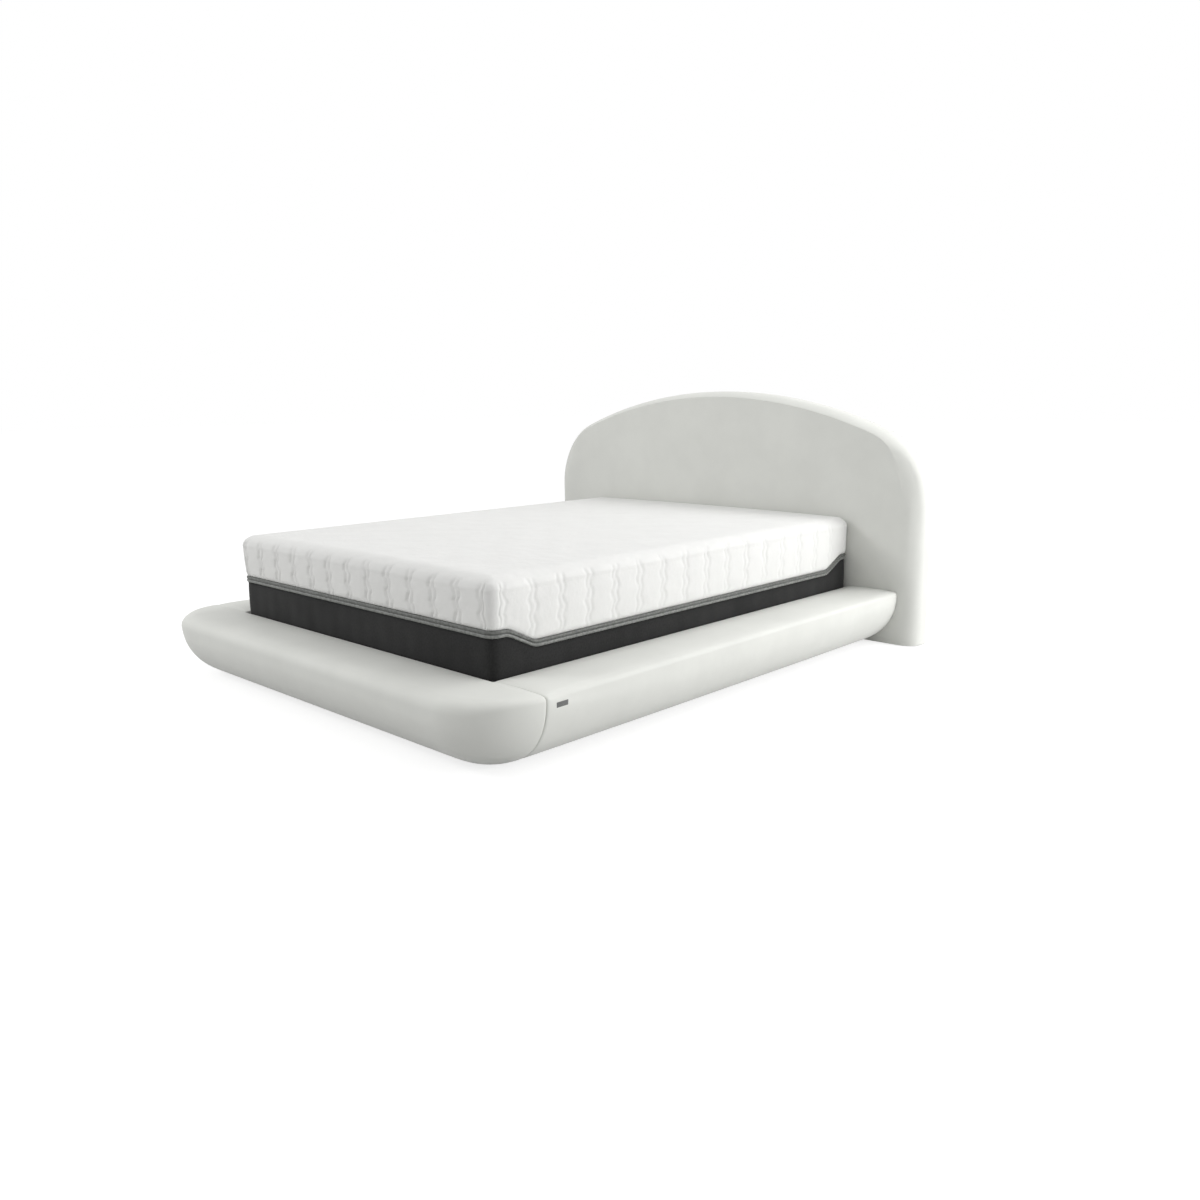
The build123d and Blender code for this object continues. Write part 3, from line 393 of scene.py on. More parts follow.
def zinc_plate(colours):
    """Bright zinc plating on steel: cool grey metal, cloudy, with fine drawn scratches."""
    made, tree, surface, place = shader("zinc_plated_steel", Metallic=1, Roughness=0.34)
    clouds = noise(tree, place, 60, 4)
    mottle(tree, surface, clouds, 0.3, 0.7, 0.72, colours.zinc)
    tree.links.new(spans(tree, clouds, -0.5, 1.8), surface.inputs["Roughness"])
    raise_grain(tree, surface, (noise(tree, place, 700, 2, Distortion=2), 0.0001, 0.3))
    return made


def moulded_nylon(colours):
    """Moulded nylon: black, satin, with the fine spark texture of its mould and scuffs underneath."""
    made, tree, surface, place = shader("moulded_nylon", Roughness=0.5, IOR=1.53)
    scuffs = spans(tree, noise(tree, place, 90, 6, Distortion=1), 0.55, 0.8)
    paint(tree, surface, scuffs, darker(colours.black, 0.8), linear("#4A4B4B"))
    raise_grain(tree, surface, (noise(tree, place, 900, 2), 0.0001, 0.4))
    return made


def build_finishes(colours):
    """Every finish of the bed, by the name of its material slot."""
    return {
        "upholstery": coated_fabric(colours),
        "cover_knit": cover_knit(colours),
        "border_knit": border_knit(colours),
        "tape_dark": gathered_tape("gathered_tape_mid_grey", colours.tape_dark),
        "tape_light": gathered_tape("gathered_tape_pale_grey", colours.tape_light),
        # Threads 1.3 mm apart on the webbing and 0.8 mm apart on the tab
        "webbing": woven_strap("polypropylene_webbing", linear("#3A3B3B"), 250),
        "tab_weave": woven_strap("woven_polyester_tab", linear("#838483"), 400),
        "foam": foam_surface("polyurethane_foam", colours.foam),
        "spring_fabric": spunbond("spunbonded_pocket_cloth", linear("#E6E6E4")),
        "lining_board": spunbond("black_dust_cloth_on_hardboard", linear("#2B2B2C")),
        "pine": sawn_wood("planed_pine", colours.pine, 0, 0.6, 0),
        "slat_wood": sawn_wood("lacquered_beech", colours.slat, 0, 0.42, 0.25),
        "plywood": birch_plywood(colours),
        "nylon": moulded_nylon(colours),
        "black_steel": powder_coat(colours),
        "zinc_steel": zinc_plate(colours),
    }


finishes = {}


def finish(slot):
    """The material of a slot. All of them are made the first time that one is asked for."""
    if not finishes:
        finishes.update(build_finishes(bpy.context.scene.bed_colours))
    return finishes[slot]


# Meshes


def add_object(name, data):
    """A new object in the scene."""
    made = bpy.data.objects.new(name, data)
    bpy.context.scene.collection.objects.link(made)
    return made


def together(x, y, z):
    """Points from three coordinates, each one number or a row of them."""
    return np.stack(np.broadcast_arrays(x, y, z), axis=1)


def welded(name, *tables):
    """One closed smooth mesh from tables of points, joined where their edges meet."""
    points, faces = [], []
    for table in tables:
        table = np.asarray(table, float)
        rows, columns = table.shape[:2]
        corner = len(points) + np.arange(rows - 1)[:, None] * columns + np.arange(columns - 1)[None, :]
        corner = corner.reshape(-1, 1)
        faces.extend((corner + np.array([0, 1, columns + 1, columns])).tolist())
        points.extend(table.reshape(-1, 3).tolist())
    mesh = bpy.data.meshes.new(name)
    mesh.from_pydata(points, [], faces)
    form = bmesh.new()
    form.from_mesh(mesh)
    bmesh.ops.remove_doubles(form, verts=form.verts, dist=1e-6)
    bmesh.ops.dissolve_degenerate(form, edges=form.edges, dist=1e-6)
    bmesh.ops.recalc_face_normals(form, faces=form.faces)
    form.to_mesh(mesh)
    form.free()
    mesh.shade_smooth()
    return add_object(name, mesh)


def places_of(piece):
    """Every vertex of a piece, as a table."""
    table = np.zeros(len(piece.data.vertices) * 3)
    piece.data.vertices.foreach_get("co", table)
    return table.reshape(-1, 3)


def apply_modifiers(piece):
    """Turns a piece with modifiers into a plain mesh."""
    bpy.context.view_layer.update()
    solid = piece.evaluated_get(bpy.context.evaluated_depsgraph_get())
    mesh = bpy.data.meshes.new_from_object(solid)
    piece.modifiers.clear()
    piece.data = mesh
    piece.data.shade_smooth()


def subdivide(piece):
    """Rounds a piece by one subdivision, the same in view and render."""
    rounding = piece.modifiers.new("rounding", "SUBSURF")
    rounding.levels = rounding.render_levels = 1
    apply_modifiers(piece)


def inflate(piece, held, cap):
    """Lets cloth swell under its filling's pressure, held where it is stapled, up to a cap."""
    rest = places_of(piece)
    group = piece.vertex_groups.new(name="held")
    group.add([int(number) for number in np.flatnonzero(held(rest))], 1, "REPLACE")
    cloth = piece.modifiers.new("cloth", "CLOTH")
    settings = cloth.settings
    settings.quality = 5
    settings.mass = 0.3
    settings.tension_stiffness = settings.compression_stiffness = 12
    settings.shear_stiffness = 5
    settings.bending_stiffness = 2
    settings.vertex_group_mass = "held"
    settings.use_pressure = True
    settings.uniform_pressure_force = 4
    settings.effector_weights.gravity = 0
    cloth.collision_settings.use_collision = False
    cloth.point_cache.frame_start = 1
    cloth.point_cache.frame_end = cloth_frames
    for number in range(1, cloth_frames + 1):
        bpy.context.scene.frame_set(number)
    apply_modifiers(piece)
    bpy.context.scene.frame_set(1)
    moved = places_of(piece) - rest
    reach = np.linalg.norm(moved, axis=1, keepdims=True)
    share = np.minimum(1, cap / np.maximum(reach, 1e-9))
    piece.data.vertices.foreach_set("co", (rest + moved * share).ravel())
    piece.vertex_groups.clear()


def dress(piece, body, slot, *replaced, fill=None):
    """Gives a finished piece its material and its body, and hides the parts that it stands for. Its filling,
    fill, is not used.
    """
    piece.data.materials.clear()
    piece.data.materials.append(finish(slot))
    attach(piece, body)
    if replaced:
        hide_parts(*replaced)


def softened(name, node, bevel):
    """A copy of a node's mesh with its edges rounded."""
    made = add_object(name, nodes[node].data.copy())
    form = bmesh.new()
    form.from_mesh(made.data)
    bmesh.ops.remove_doubles(form, verts=form.verts, dist=1e-6)
    bmesh.ops.dissolve_limit(form, angle_limit=math.radians(1), verts=form.verts, edges=form.edges)
    bmesh.ops.recalc_face_normals(form, faces=form.faces)
    form.to_mesh(made.data)
    form.free()
    rounding = made.modifiers.new("edges", "BEVEL")
    rounding.width = bevel
    rounding.segments = 2
    rounding.limit_method = "ANGLE"
    rounding.angle_limit = math.radians(40)
    apply_modifiers(made)
    return made


def eased(share):
    """Smooth step from 0 to 1."""
    share = np.clip(share, 0, 1)
    return share * share * (3 - 2 * share)


# Rails and footboard


def hull_profile(sizes, edge):
    """Open section of a rail, x out from the recess: under, round the belly, over the ledge."""
    low_angle = math.asin((sizes.hull_base - sizes.hull_centre) / sizes.hull_radius)
    centre_out = sizes.ledge_width - sizes.hull_radius
    base_out = centre_out + sizes.hull_radius * math.cos(low_angle)
    points = [(base_out * share, sizes.hull_base) for share in (0, 0.02, 0.3, 0.6, 0.85, 0.96)]
    high = sizes.hull_centre + ledge_rise
    core = sizes.hull_radius - edge
    turn = math.asin((high - edge - sizes.hull_centre) / core)
    for angle in np.linspace(low_angle, turn, 26):
        out = centre_out + sizes.hull_radius * math.cos(angle)
        points.append((out, sizes.hull_centre + sizes.hull_radius * math.sin(angle)))
    flat = centre_out + core * math.cos(turn)
    for angle in np.linspace(turn, math.pi / 2, 10)[1:]:
        points.append((flat + edge * math.cos(angle), high - edge * (1 - math.sin(angle))))
    for share in (0.96, 0.88, 0.75, 0.6, 0.45, 0.3, 0.18, 0.09):
        across = 2 * (flat * share) / sizes.ledge_width - 1
        points.append((flat * share, high + sizes.ledge_crown * (1 - across**2)))
    edge = sizes.recess_edge
    for angle in np.linspace(math.pi / 2, math.pi, 5):
        points.append((edge * (1 + math.cos(angle)), high - edge * (1 - math.sin(angle))))
    return np.array(points)


def drawn_in(profile, depth):
    """A section moved in from its outline by a depth, its ends along the recess's face."""
    before, after = np.roll(profile, 1, axis=0), np.roll(profile, -1, axis=0)
    along = after - before
    along[0], along[-1] = (1, 0), (0, -1)
    along /= np.linalg.norm(along, axis=1, keepdims=True)
    normal = np.stack([along[:, 1], -along[:, 0]], axis=1)
    moved = profile - normal * depth
    moved[:, 0] = np.maximum(moved[:, 0], 0)
    return moved


def recess_points(profile):
    """Points up the recess's face, one for each point of the section."""
    shares = np.linspace(0, 1, len(profile))[:, None]
    return profile[0] * (1 - shares) + profile[-1] * shares


def with_ends(skin, face):
    """Skin and recess face with the two flat faces that close them."""
    shares = np.linspace(0, 1, 5)
    return skin, face, *([face[n] + (skin[n] - face[n]) * share for share in shares] for n in (0, -1))


# How a seam's edges round off: place from the seam, and share of the full rounding
seam_steps = ((0, 1), (0.0012, 0.55), (0.0035, 0.18), (0.008, 0))


def headboard_curve(sizes, across):
    """How far behind its face the headboard lies at a place across it, low down."""
    share = np.clip((across - (headboard_half - sizes.side_roll)) / sizes.side_roll, 0, 1)
    return sizes.roll_depth * (1 - np.sqrt(1 - share**2))


def rail_tables(sizes, side):
    """Skin, recess face and two end faces of a rail, the far one shaped to the headboard."""
    profile = hull_profile(sizes, sizes.ledge_edge)
    length = head_line - foot_line
    near = [(along, sizes.seam_round * share) for along, share in seam_steps]
    middle = [(along, 0) for along in np.linspace(0.03, length - 0.03, 70)]
    far = [(length - along, depth * 0.6) for along, depth in reversed(near)]
    skin, face = [], []
    for along, depth in near + middle + far:
        section = drawn_in(profile, depth)
        out = opening_half + section[:, 0]
        past = headboard_curve(sizes, out) if along > length - 0.02 else 0
        skin.append(together(side * out, foot_line + along + past, section[:, 1]))
        inner = recess_points(section)
        face.append(together(side * (opening_half + inner[:, 0]), foot_line + along, inner[:, 1]))
    return with_ends(skin, face)


def footboard_tables(sizes):
    """Skin, recess face and end faces of the footboard, its ends turned through a quarter circle."""
    seams = [(math.asin(along / 0.2), sizes.seam_round * share) for along, share in seam_steps]
    turn = seams + [(angle, 0) for angle in np.linspace(0.07, math.pi / 2, 24)]
    stations = [(1, angle, depth, opening_half) for angle, depth in turn]
    stations += [(1, math.pi / 2, 0, across) for across in np.linspace(opening_half, -opening_half, 54)[1:-1]]
    stations += [(-1, angle, depth, -opening_half) for angle, depth in reversed(turn)]
    skin, face = [], []
    for side, angle, depth, across in stations:
        # The edge is a rail's at the seam and opens round the turn
        edge = sizes.ledge_edge + (sizes.footboard_edge - sizes.ledge_edge) * float(eased(angle - 0.1))
        section = drawn_in(hull_profile(sizes, edge), depth)
        for rows, points in ((skin, section), (face, recess_points(section))):
            out = points[:, 0]
            x = across + side * out * math.cos(angle)
            rows.append(together(x, foot_line - out * math.sin(angle), points[:, 1]))
    return with_ends(skin, face)


class BED_OT_side_rails(Operator):
    """Upholster both side rails"""

    bl_idname = "bed.side_rails"
    bl_label = "Side rails"

    def execute(self, context):
        sizes = context.scene.bed_sizes
        for side, name in ((1, "right"), (-1, "left")):
            piece = welded(f"{name}_rail_upholstery", *rail_tables(sizes, side))
            inflate(
                piece,
                lambda p: (abs(p[:, 0]) < opening_half + 0.02)
                | (p[:, 1] < foot_line + 0.02)
                | (p[:, 1] > head_line - 0.03)
                | (p[:, 2] < 0.012),
                sizes.swell,
            )
            subdivide(piece)
            dress(piece, "frame", "upholstery", f"{name}_rail_cover", fill=0.9)
        return {"FINISHED"}


class BED_OT_footboard(Operator):
    """Upholster the footboard"""

    bl_idname = "bed.footboard"
    bl_label = "Footboard"

    def execute(self, context):
        sizes = context.scene.bed_sizes
        piece = welded("footboard_upholstery", *footboard_tables(sizes))
        inflate(piece, lambda p: (p[:, 1] > foot_line - 0.02) | (p[:, 2] < 0.012), sizes.swell)
        subdivide(piece)
        dress(piece, "frame", "upholstery", "footboard_cover", fill=0.9)
        corners = softened("footboard_corner_pads", "footboard_corner_foam", 0.004)
        dress(corners, "frame", "foam", "footboard_corner_foam", fill=1)
        return {"FINISHED"}


# Headboard


def headboard_samples(sizes, low):
    """Outline points, outward normals and how far each belongs to the arch: up, over and down."""
    arch_height = headboard_top - sizes.arch_radius
    shoulder_out = headboard_half - sizes.shoulder_radius
    reach = sizes.arch_radius - sizes.shoulder_radius
    join = math.acos(shoulder_out / reach)
    shoulder_height = arch_height + reach * math.sin(join)
    points = [(headboard_half, height) for height in np.linspace(low, shoulder_height, side_steps + 1)]
    normals = [(1, 0)] * (side_steps + 1)
    belongs = [0] * (side_steps + 1)
    for share in np.linspace(0, 1, shoulder_steps + 1)[1:]:
        normal = (math.cos(join * share), math.sin(join * share))
        centre = (shoulder_out, shoulder_height)
        points.append([c + sizes.shoulder_radius * n for c, n in zip(centre, normal)])
        normals.append(normal)
        belongs.append(float(eased(share)))
    for angle in np.linspace(join, math.pi / 2, arch_steps + 1)[1:]:
        normal = (math.cos(angle), math.sin(angle))
        points.append([c + sizes.arch_radius * n for c, n in zip((0, arch_height), normal)])
        normals.append(normal)
        belongs.append(1)
    points, normals, belongs = np.array(points), np.array(normals, float), np.array(belongs, float)
    mirrored = np.array([-1, 1])
    points = np.concatenate([points, points[-2::-1] * mirrored])
    normals = np.concatenate([normals, normals[-2::-1] * mirrored])
    return points, normals, np.concatenate([belongs, belongs[-2::-1]])


def headboard_tables(sizes):
    """Face, rolled edge, back border and the bay that holds the boards."""
    low = 0.003
    points, normals, arch = headboard_samples(sizes, low)
    width = sizes.side_roll + (sizes.top_roll - sizes.side_roll) * arch
    # On the arch the roll starts part of the way round, which leaves a crisp front edge
    start = math.radians(58) * arch
    depth_all = back_line - head_line
    count = len(points)
    over_the_top = slice(side_steps, count - side_steps)

    def ring(inset, depth, base):
        """Closed loop at an inset and a depth, its bottom line at a height."""
        rim = points - normals * np.asarray(inset).reshape(-1, 1)
        top = rim[:, 1].max()
        rim[:, 1] = base + (rim[:, 1] - low) * (top - base) / (top - low)
        over = together(rim[:, 0], head_line + depth, rim[:, 1])
        first, last = over[0], over[-1]
        tops = over[over_the_top, 0]
        shares = (tops - tops[0]) / (tops[-1] - tops[0])
        under = first + (last - first) * shares[:, None]
        return np.concatenate([over, under[-2:0:-1], over[:1]])

    def filled(loop):
        """Upright columns that fill a loop."""
        unders = np.concatenate([loop[:1], loop[count:-1][::-1], loop[count - 1 : count]])
        shares = np.linspace(0, 1, side_steps + 1)[:, None, None]
        return unders[None] * (1 - shares) + loop[over_the_top][None] * shares

    # Two rings close inside the edge keep the face flat up to it
    rings = [ring(width + inside, 0, low) for inside in (0.007, 0.0018)]
    for share in np.linspace(0, 1, 15):
        angle = start + (math.pi / 2 - start) * share
        inset = width * (1 - (np.sin(angle) - np.sin(start)) / (1 - np.sin(start)))
        depth = sizes.roll_depth * (np.cos(start) - np.cos(angle)) / np.cos(start)
        rings.append(ring(inset, depth, low))
    back = ((0, -0.03), (0, -0.012), (0.002, -0.006), (0.006, -0.002), (0.012, 0), (0.04, 0), (0.072, 0))
    rings += [ring(inset, depth_all + behind, low) for inset, behind in back]
    # The bay's sides run in from the back, clear of the boards
    bay = (0.0005, 0.003, 0.04, 0.078, 0.0805)
    rings += [ring(panel_inset, depth_all - behind, 0.0075) for behind in bay]
    return filled(rings[0]), rings, filled(rings[-1])


class BED_OT_headboard(Operator):
    """Upholster the headboard and staple its back"""

    bl_idname = "bed.headboard"
    bl_label = "Headboard"

    def execute(self, context):
        sizes = context.scene.bed_sizes
        piece = welded("headboard_upholstery", *headboard_tables(sizes))
        inflate(
            piece,
            lambda p: (p[:, 1] > head_line + 0.03)
            | (p[:, 2] < 0.012)
            | (p[:, 2] > headboard_top - 0.06 - p[:, 0] ** 2 / (2 * sizes.arch_radius))
            | ((p[:, 2] < 0.26) & (abs(p[:, 0]) > opening_half - 0.03)),
            sizes.swell,
        )
        subdivide(piece)
        dress(piece, "frame", "upholstery", "headboard_cover", fill=0.85)
        points, normals, _ = headboard_samples(sizes, 0.03)
        rim = points - normals * panel_staple_inset
        path = [(across, back_line + 0.0003, height) for across, height in rim]
        staples = dashes("back_panel_staples", [path], "zinc_steel", sizes.staple_pitch, 0.011, 0.0006, 0.35)
        dress(staples, "frame", "zinc_steel")
        return {"FINISHED"}


# Rows of stitches and staples, made by Geometry Nodes


def new_tree(name, **inputs):
    """A geometry tree with named inputs: each is a whole or a real number, as its default is."""
    tree = bpy.data.node_groups.new(name, "GeometryNodeTree")
    for way in ("OUTPUT", "INPUT"):
        tree.interface.new_socket(name="Geometry", in_out=way, socket_type="NodeSocketGeometry")
    for label, value in inputs.items():
        kind = "NodeSocketInt" if isinstance(value, int) else "NodeSocketFloat"
        tree.interface.new_socket(name=label, in_out="INPUT", socket_type=kind).default_value = value
    return tree, add_node(tree, "NodeGroupInput").outputs


def run_tree(piece, tree, **values):
    """Runs a geometry tree on a piece with its inputs set, and keeps the result as a plain mesh."""
    growing = piece.modifiers.new(tree.name, "NODES")
    growing.node_group = tree
    for item in tree.interface.items_tree:
        if item.in_out == "INPUT" and item.name in values:
            growing[item.identifier] = values[item.name]
    apply_modifiers(piece)
    return piece


def close_tree(tree, geometry, slot):
    """Makes the instances real and gives them their material."""
    real = add_node(tree, "GeometryNodeRealizeInstances", {"Geometry": geometry}).outputs["Geometry"]
    made = add_node(tree, "GeometryNodeSetMaterial", {"Geometry": real, "Material": finish(slot)})
    add_node(tree, "NodeGroupOutput", {"Geometry": made.outputs["Geometry"]})


def dash_tree(slot):
    """Short rounded dashes laid along paths, as a row of stitches or staples is."""
    defaults = {"Pitch": 0.005, "Length": 0.004, "Radius": 0.0005, "Turn": 0.0, "Seed": 7}
    tree, given = new_tree(f"dashes_{slot}", **defaults)
    paths = add_node(tree, "GeometryNodeMeshToCurve", {"Mesh": given["Geometry"]}).outputs["Curve"]
    spacing = {"Curve": paths, "Length": given["Pitch"]}
    places = add_node(tree, "GeometryNodeCurveToPoints", spacing, mode="LENGTH").outputs
    back, front = (
        add_node(tree, "ShaderNodeCombineXYZ", {"Z": calculate(tree, "MULTIPLY", given["Length"], share)})
        for share in (-0.5, 0.5)
    )
    ends = {"Start": back.outputs[0], "End": front.outputs[0]}
    line = add_node(tree, "GeometryNodeCurvePrimitiveLine", ends).outputs["Curve"]
    spaced = add_node(tree, "GeometryNodeResampleCurve", {"Curve": line, "Count": 5}).outputs["Curve"]
    # Each dash is full in its middle and thins to a blunt point at both ends
    along = add_node(tree, "GeometryNodeSplineParameter").outputs["Factor"]
    wave = calculate(tree, "SINE", calculate(tree, "MULTIPLY", along, math.pi))
    size = calculate(tree, "MULTIPLY", calculate(tree, "POWER", wave, 0.5), given["Radius"])
    least = calculate(tree, "MAXIMUM", size, 0.00012)
    ring = add_node(tree, "GeometryNodeCurvePrimitiveCircle", {"Resolution": 6, "Radius": 1}).outputs["Curve"]
    thread = {"Curve": spaced, "Profile Curve": ring, "Scale": least, "Fill Caps": True}
    dash = add_node(tree, "GeometryNodeCurveToMesh", thread).outputs["Mesh"]
    spread = {"Min": (-0.3, -1, -0.3), "Max": (0.3, 1, 0.3), "Seed": given["Seed"]}
    random = add_node(tree, "FunctionNodeRandomValue", spread, data_type="FLOAT_VECTOR").outputs["Value"]
    swing = add_node(tree, "ShaderNodeVectorMath", {0: random, "Scale": given["Turn"]}, operation="SCALE")
    turns = {"Rotation": places["Rotation"], "Rotate By": swing.outputs[0]}
    laid = add_node(tree, "FunctionNodeRotateRotation", turns, rotation_space="LOCAL").outputs["Rotation"]
    row = {"Points": places["Points"], "Instance": dash, "Rotation": laid}
    close_tree(tree, add_node(tree, "GeometryNodeInstanceOnPoints", row).outputs["Instances"], slot)
    return tree


def dashes(name, paths, slot, pitch, length, radius, turn):
    """A piece of dashes along paths of points."""
    points, edges = [], []
    for path in paths:
        start = len(points)
        points.extend(tuple(float(value) for value in place) for place in path)
        edges.extend((number, number + 1) for number in range(start, len(points) - 1))
    mesh = bpy.data.meshes.new(name)
    mesh.from_pydata(points, edges, [])
    values = {"Pitch": pitch, "Length": length, "Radius": radius, "Turn": turn, "Seed": 11}
    return run_tree(add_object(name, mesh), dash_tree(slot), **values)


# Mattress


def mattress_samples(sizes, per_channel=None, step=None):
    """Outline points, outward normals and channel number all the way round, spaced by count or by step."""
    radius = sizes.corner_radius
    straight = (mattress_half - radius, mattress_reach - radius)
    counts = (sizes.channels_across, sizes.channels_along)
    points, normals, channel = [], [], []
    total = 0
    for quarter in range(4):
        angle = quarter * math.pi / 2
        run, other = straight[quarter % 2], straight[1 - quarter % 2]
        count = counts[quarter % 2]
        turn = np.array([[math.cos(angle), -math.sin(angle)], [math.sin(angle), math.cos(angle)]])
        sections = count * per_channel if per_channel else max(8, round(2 * run / step))
        corner = per_channel if per_channel else max(6, round(radius * math.pi / 2 / step))
        for number in range(sections):
            points.append(turn @ ((2 * number / sections - 1) * run, -other - radius))
            normals.append(turn @ (0, -1))
            channel.append(total + number * count / sections)
        total += count
        for number in range(corner):
            bend = math.pi / 2 * (number / corner - 1)
            normal = np.array([math.cos(bend), math.sin(bend)])
            points.append(turn @ (np.array([run, -other]) + radius * normal))
            normals.append(turn @ normal)
            channel.append(total + number / corner)
        total += 1
    return np.array(points), np.array(normals), np.array(channel)


def mattress_loop(sizes, outline, inset, out=0):
    """The outline drawn in by an inset, down to the middle line, and moved out again along its normals."""
    points, normals = outline
    radius = sizes.corner_radius
    drawn = points - normals * min(inset, radius)
    if inset > radius:
        cores = np.array([mattress_half - radius, mattress_reach - radius])
        drawn = (points - normals * radius) * (np.array([mattress_half, mattress_reach]) - inset) / cores
    return drawn + normals * np.reshape(out, (-1, 1))


def lofted(points, height):
    """Places of a loop at a height or at one height for each point."""
    row = together(points[:, 0], mattress_middle + points[:, 1], height)
    return np.concatenate([row, row[:1]])


def ring_at(sizes, outline, inset, height, out=0):
    """The mattress's outline drawn in or moved out, at a height."""
    return lofted(mattress_loop(sizes, outline, inset, out), height)


def tape_height(sizes, along):
    """Height of the tape's middle at a place along the mattress: a straight drop with its bends averaged."""
    from_end = mattress_reach - np.abs(along)
    shifts = np.linspace(-drop_bend, drop_bend, 9)
    total = sum(np.clip((drop_end - from_end - shift) / drop_length, 0, 1) for shift in shifts)
    return sizes.tape_low + (sizes.tape_high - sizes.tape_low) * total / 9


def channel_relief(sizes, channel, height):
    """How deep the sewn channels lie at each place: two wavering seams close together."""
    count = 2 * (sizes.channels_across + sizes.channels_along) + 4
    depth = np.zeros(len(channel))
    draw = np.random.default_rng(5).uniform(0, 2 * math.pi, (count + 1, 3))
    draw[-1] = draw[0]
    for seam in (np.floor(channel), np.floor(channel) + 1):
        phase = draw[seam.astype(int) % count]

        def wander(reach, pitch, number):
            """A slow wave up the seam."""
            return reach * np.sin(height * 2 * math.pi / pitch + phase[:, number])

        apart = (channel - seam) * channel_pitch + (wander(0.0050, 0.058, 0) + wander(0.0013, 0.023, 1))
        pinch = 0.010 + wander(0.003, 0.101, 2)
        for share, middle, width in ((0.35, 0, 0.024), (0.65, pinch, 0.0048), (0.65, -pinch, 0.0048)):
            depth += share * np.exp(-(((apart - middle) / width) ** 2))
    return sizes.channel_depth * depth


class BED_OT_mattress_cover(Operator):
    """Sew the mattress's knitted top cover with its channelled sides"""

    bl_idname = "bed.mattress_cover"
    bl_label = "Mattress top cover"

    def execute(self, context):
        sizes = context.scene.bed_sizes
        points, normals, channel = mattress_samples(sizes, per_channel=28)
        outline = points, normals
        radius = sizes.edge_radius
        tape = tape_height(sizes, points[:, 1]) + sizes.tape_cord + 0.0004
        scallop = 0.009 * np.abs(np.sin(channel * math.pi))

        def crown(loop):
            """Height of the top over a place across."""
            return mattress_top - sizes.mattress_crown * (loop[:, 0] / mattress_half) ** 2

        rows = []
        high = mattress_top - sizes.mattress_crown - radius
        # The head end swells less, to stay clear of the headboard
        room = sizes.belly * (1 - 0.6 * eased(normals[:, 1] * 2))
        # The knit is pulled tighter along the sides, so their channels show less
        calm = 1 - 0.4 * np.abs(normals[:, 0])
        for share in np.linspace(0, 1, 26):
            height = tape + (high - tape) * share
            fade = np.clip((height - tape) / 0.014, 0, 1) ** 0.5
            bulge = np.sin(math.pi * np.clip((height - tape) / side_height, 0, 1))
            swell = room * bulge + 0.007 * fade - 0.003
            out = swell - channel_relief(sizes, channel, height) * fade * calm
            rows.append(ring_at(sizes, outline, 0, height, out))
        # Round the top edge the channels end in a scalloped line, and the last row's swell runs out
        for angle in np.linspace(0, math.pi / 2, 12)[1:]:
            rise = radius * math.sin(angle)
            inset = radius * (1 - math.cos(angle))
            stop = eased((0.024 + scallop - rise) / 0.005)
            relief = channel_relief(sizes, channel, high + rise) * stop * calm
            out = (swell + 0.0018 * stop) * math.cos(angle) - relief * math.cos(angle)
            loop = mattress_loop(sizes, outline, inset, out if inset < sizes.corner_radius else 0)
            blend = rise / radius
            height = high + rise + (crown(loop) - mattress_top + sizes.mattress_crown) * blend
            rows.append(lofted(loop, height + (0.0016 * stop - relief) * math.sin(angle)))
        # The top, with shallow tufts
        for inset in np.linspace(radius + 0.012, mattress_half, 11):
            loop = mattress_loop(sizes, outline, float(inset))
            tufts = np.prod(np.sin(loop * 2 * math.pi / tuft_pitch), axis=1)
            fade = eased((inset - radius) / 0.08)
            rows.append(lofted(loop, crown(loop) - tuft_depth * fade * (1 + tufts)))
        inside = [rows[0], ring_at(sizes, outline, 0.004, tape - 0.0004)]
        for share in (0, 0.02, 0.5, 1):
            inside.append(ring_at(sizes, outline, lining_inset, tape + (lining_low - tape) * share))
        for inset in (0.029, 0.2, 0.5, mattress_half):
            inside.append(ring_at(sizes, outline, inset, lining_high))
        piece = welded("mattress_cover_knit", rows, inside)
        dress(piece, "mattress", "cover_knit", "mattress_top_cover", fill=0.8)
        return {"FINISHED"}


class BED_OT_mattress_border(Operator):
    """Sew the mattress's charcoal border and bottom"""

    bl_idname = "bed.mattress_border"
    bl_label = "Mattress border"

    def execute(self, context):
        sizes = context.scene.bed_sizes
        step = 0.016
        points, normals, _ = mattress_samples(sizes, step=step)
        outline = points, normals
        tape = tape_height(sizes, points[:, 1]) - sizes.tape_cord - 0.0002
        rows = []
        for inset in (mattress_half, 0.5, 0.2, 0.06, 0.02):
            rows.append(ring_at(sizes, outline, inset, mattress_base))
        # The lower edge turns round a radius
        foot = 0.008
        for angle in np.linspace(0, math.pi / 2, 5):
            inset = foot * (1 - math.sin(angle))
            rows.append(ring_at(sizes, outline, inset, mattress_base + foot * (1 - math.cos(angle))))
        walk = np.arange(len(points)) * step
        for share in np.linspace(0, 1, 14)[1:]:
            height = mattress_base + foot + (tape - mattress_base - foot) * share
            ripple = 0.0007 * np.sin(walk * 2 * math.pi / 0.19 + 3 * share)
            ripple = ripple + 0.0005 * np.sin(walk * 2 * math.pi / 0.083)
            belly = (0.0012 + ripple) * math.sin(math.pi * share) ** 0.7 - 0.0015 * max(0, share - 0.9) / 0.1
            rows.append(ring_at(sizes, outline, 0, height, belly))
        inner = mattress_base + 0.005
        for height in (tape, (tape + inner) / 2, inner):
            rows.append(ring_at(sizes, outline, lining_inset, height))
        for inset in (0.06, 0.3, mattress_half):
            rows.append(ring_at(sizes, outline, inset, inner))
        piece = welded("mattress_border_fabric", rows)
        dress(piece, "mattress", "border_knit", "mattress_border", fill=0.6)
        return {"FINISHED"}


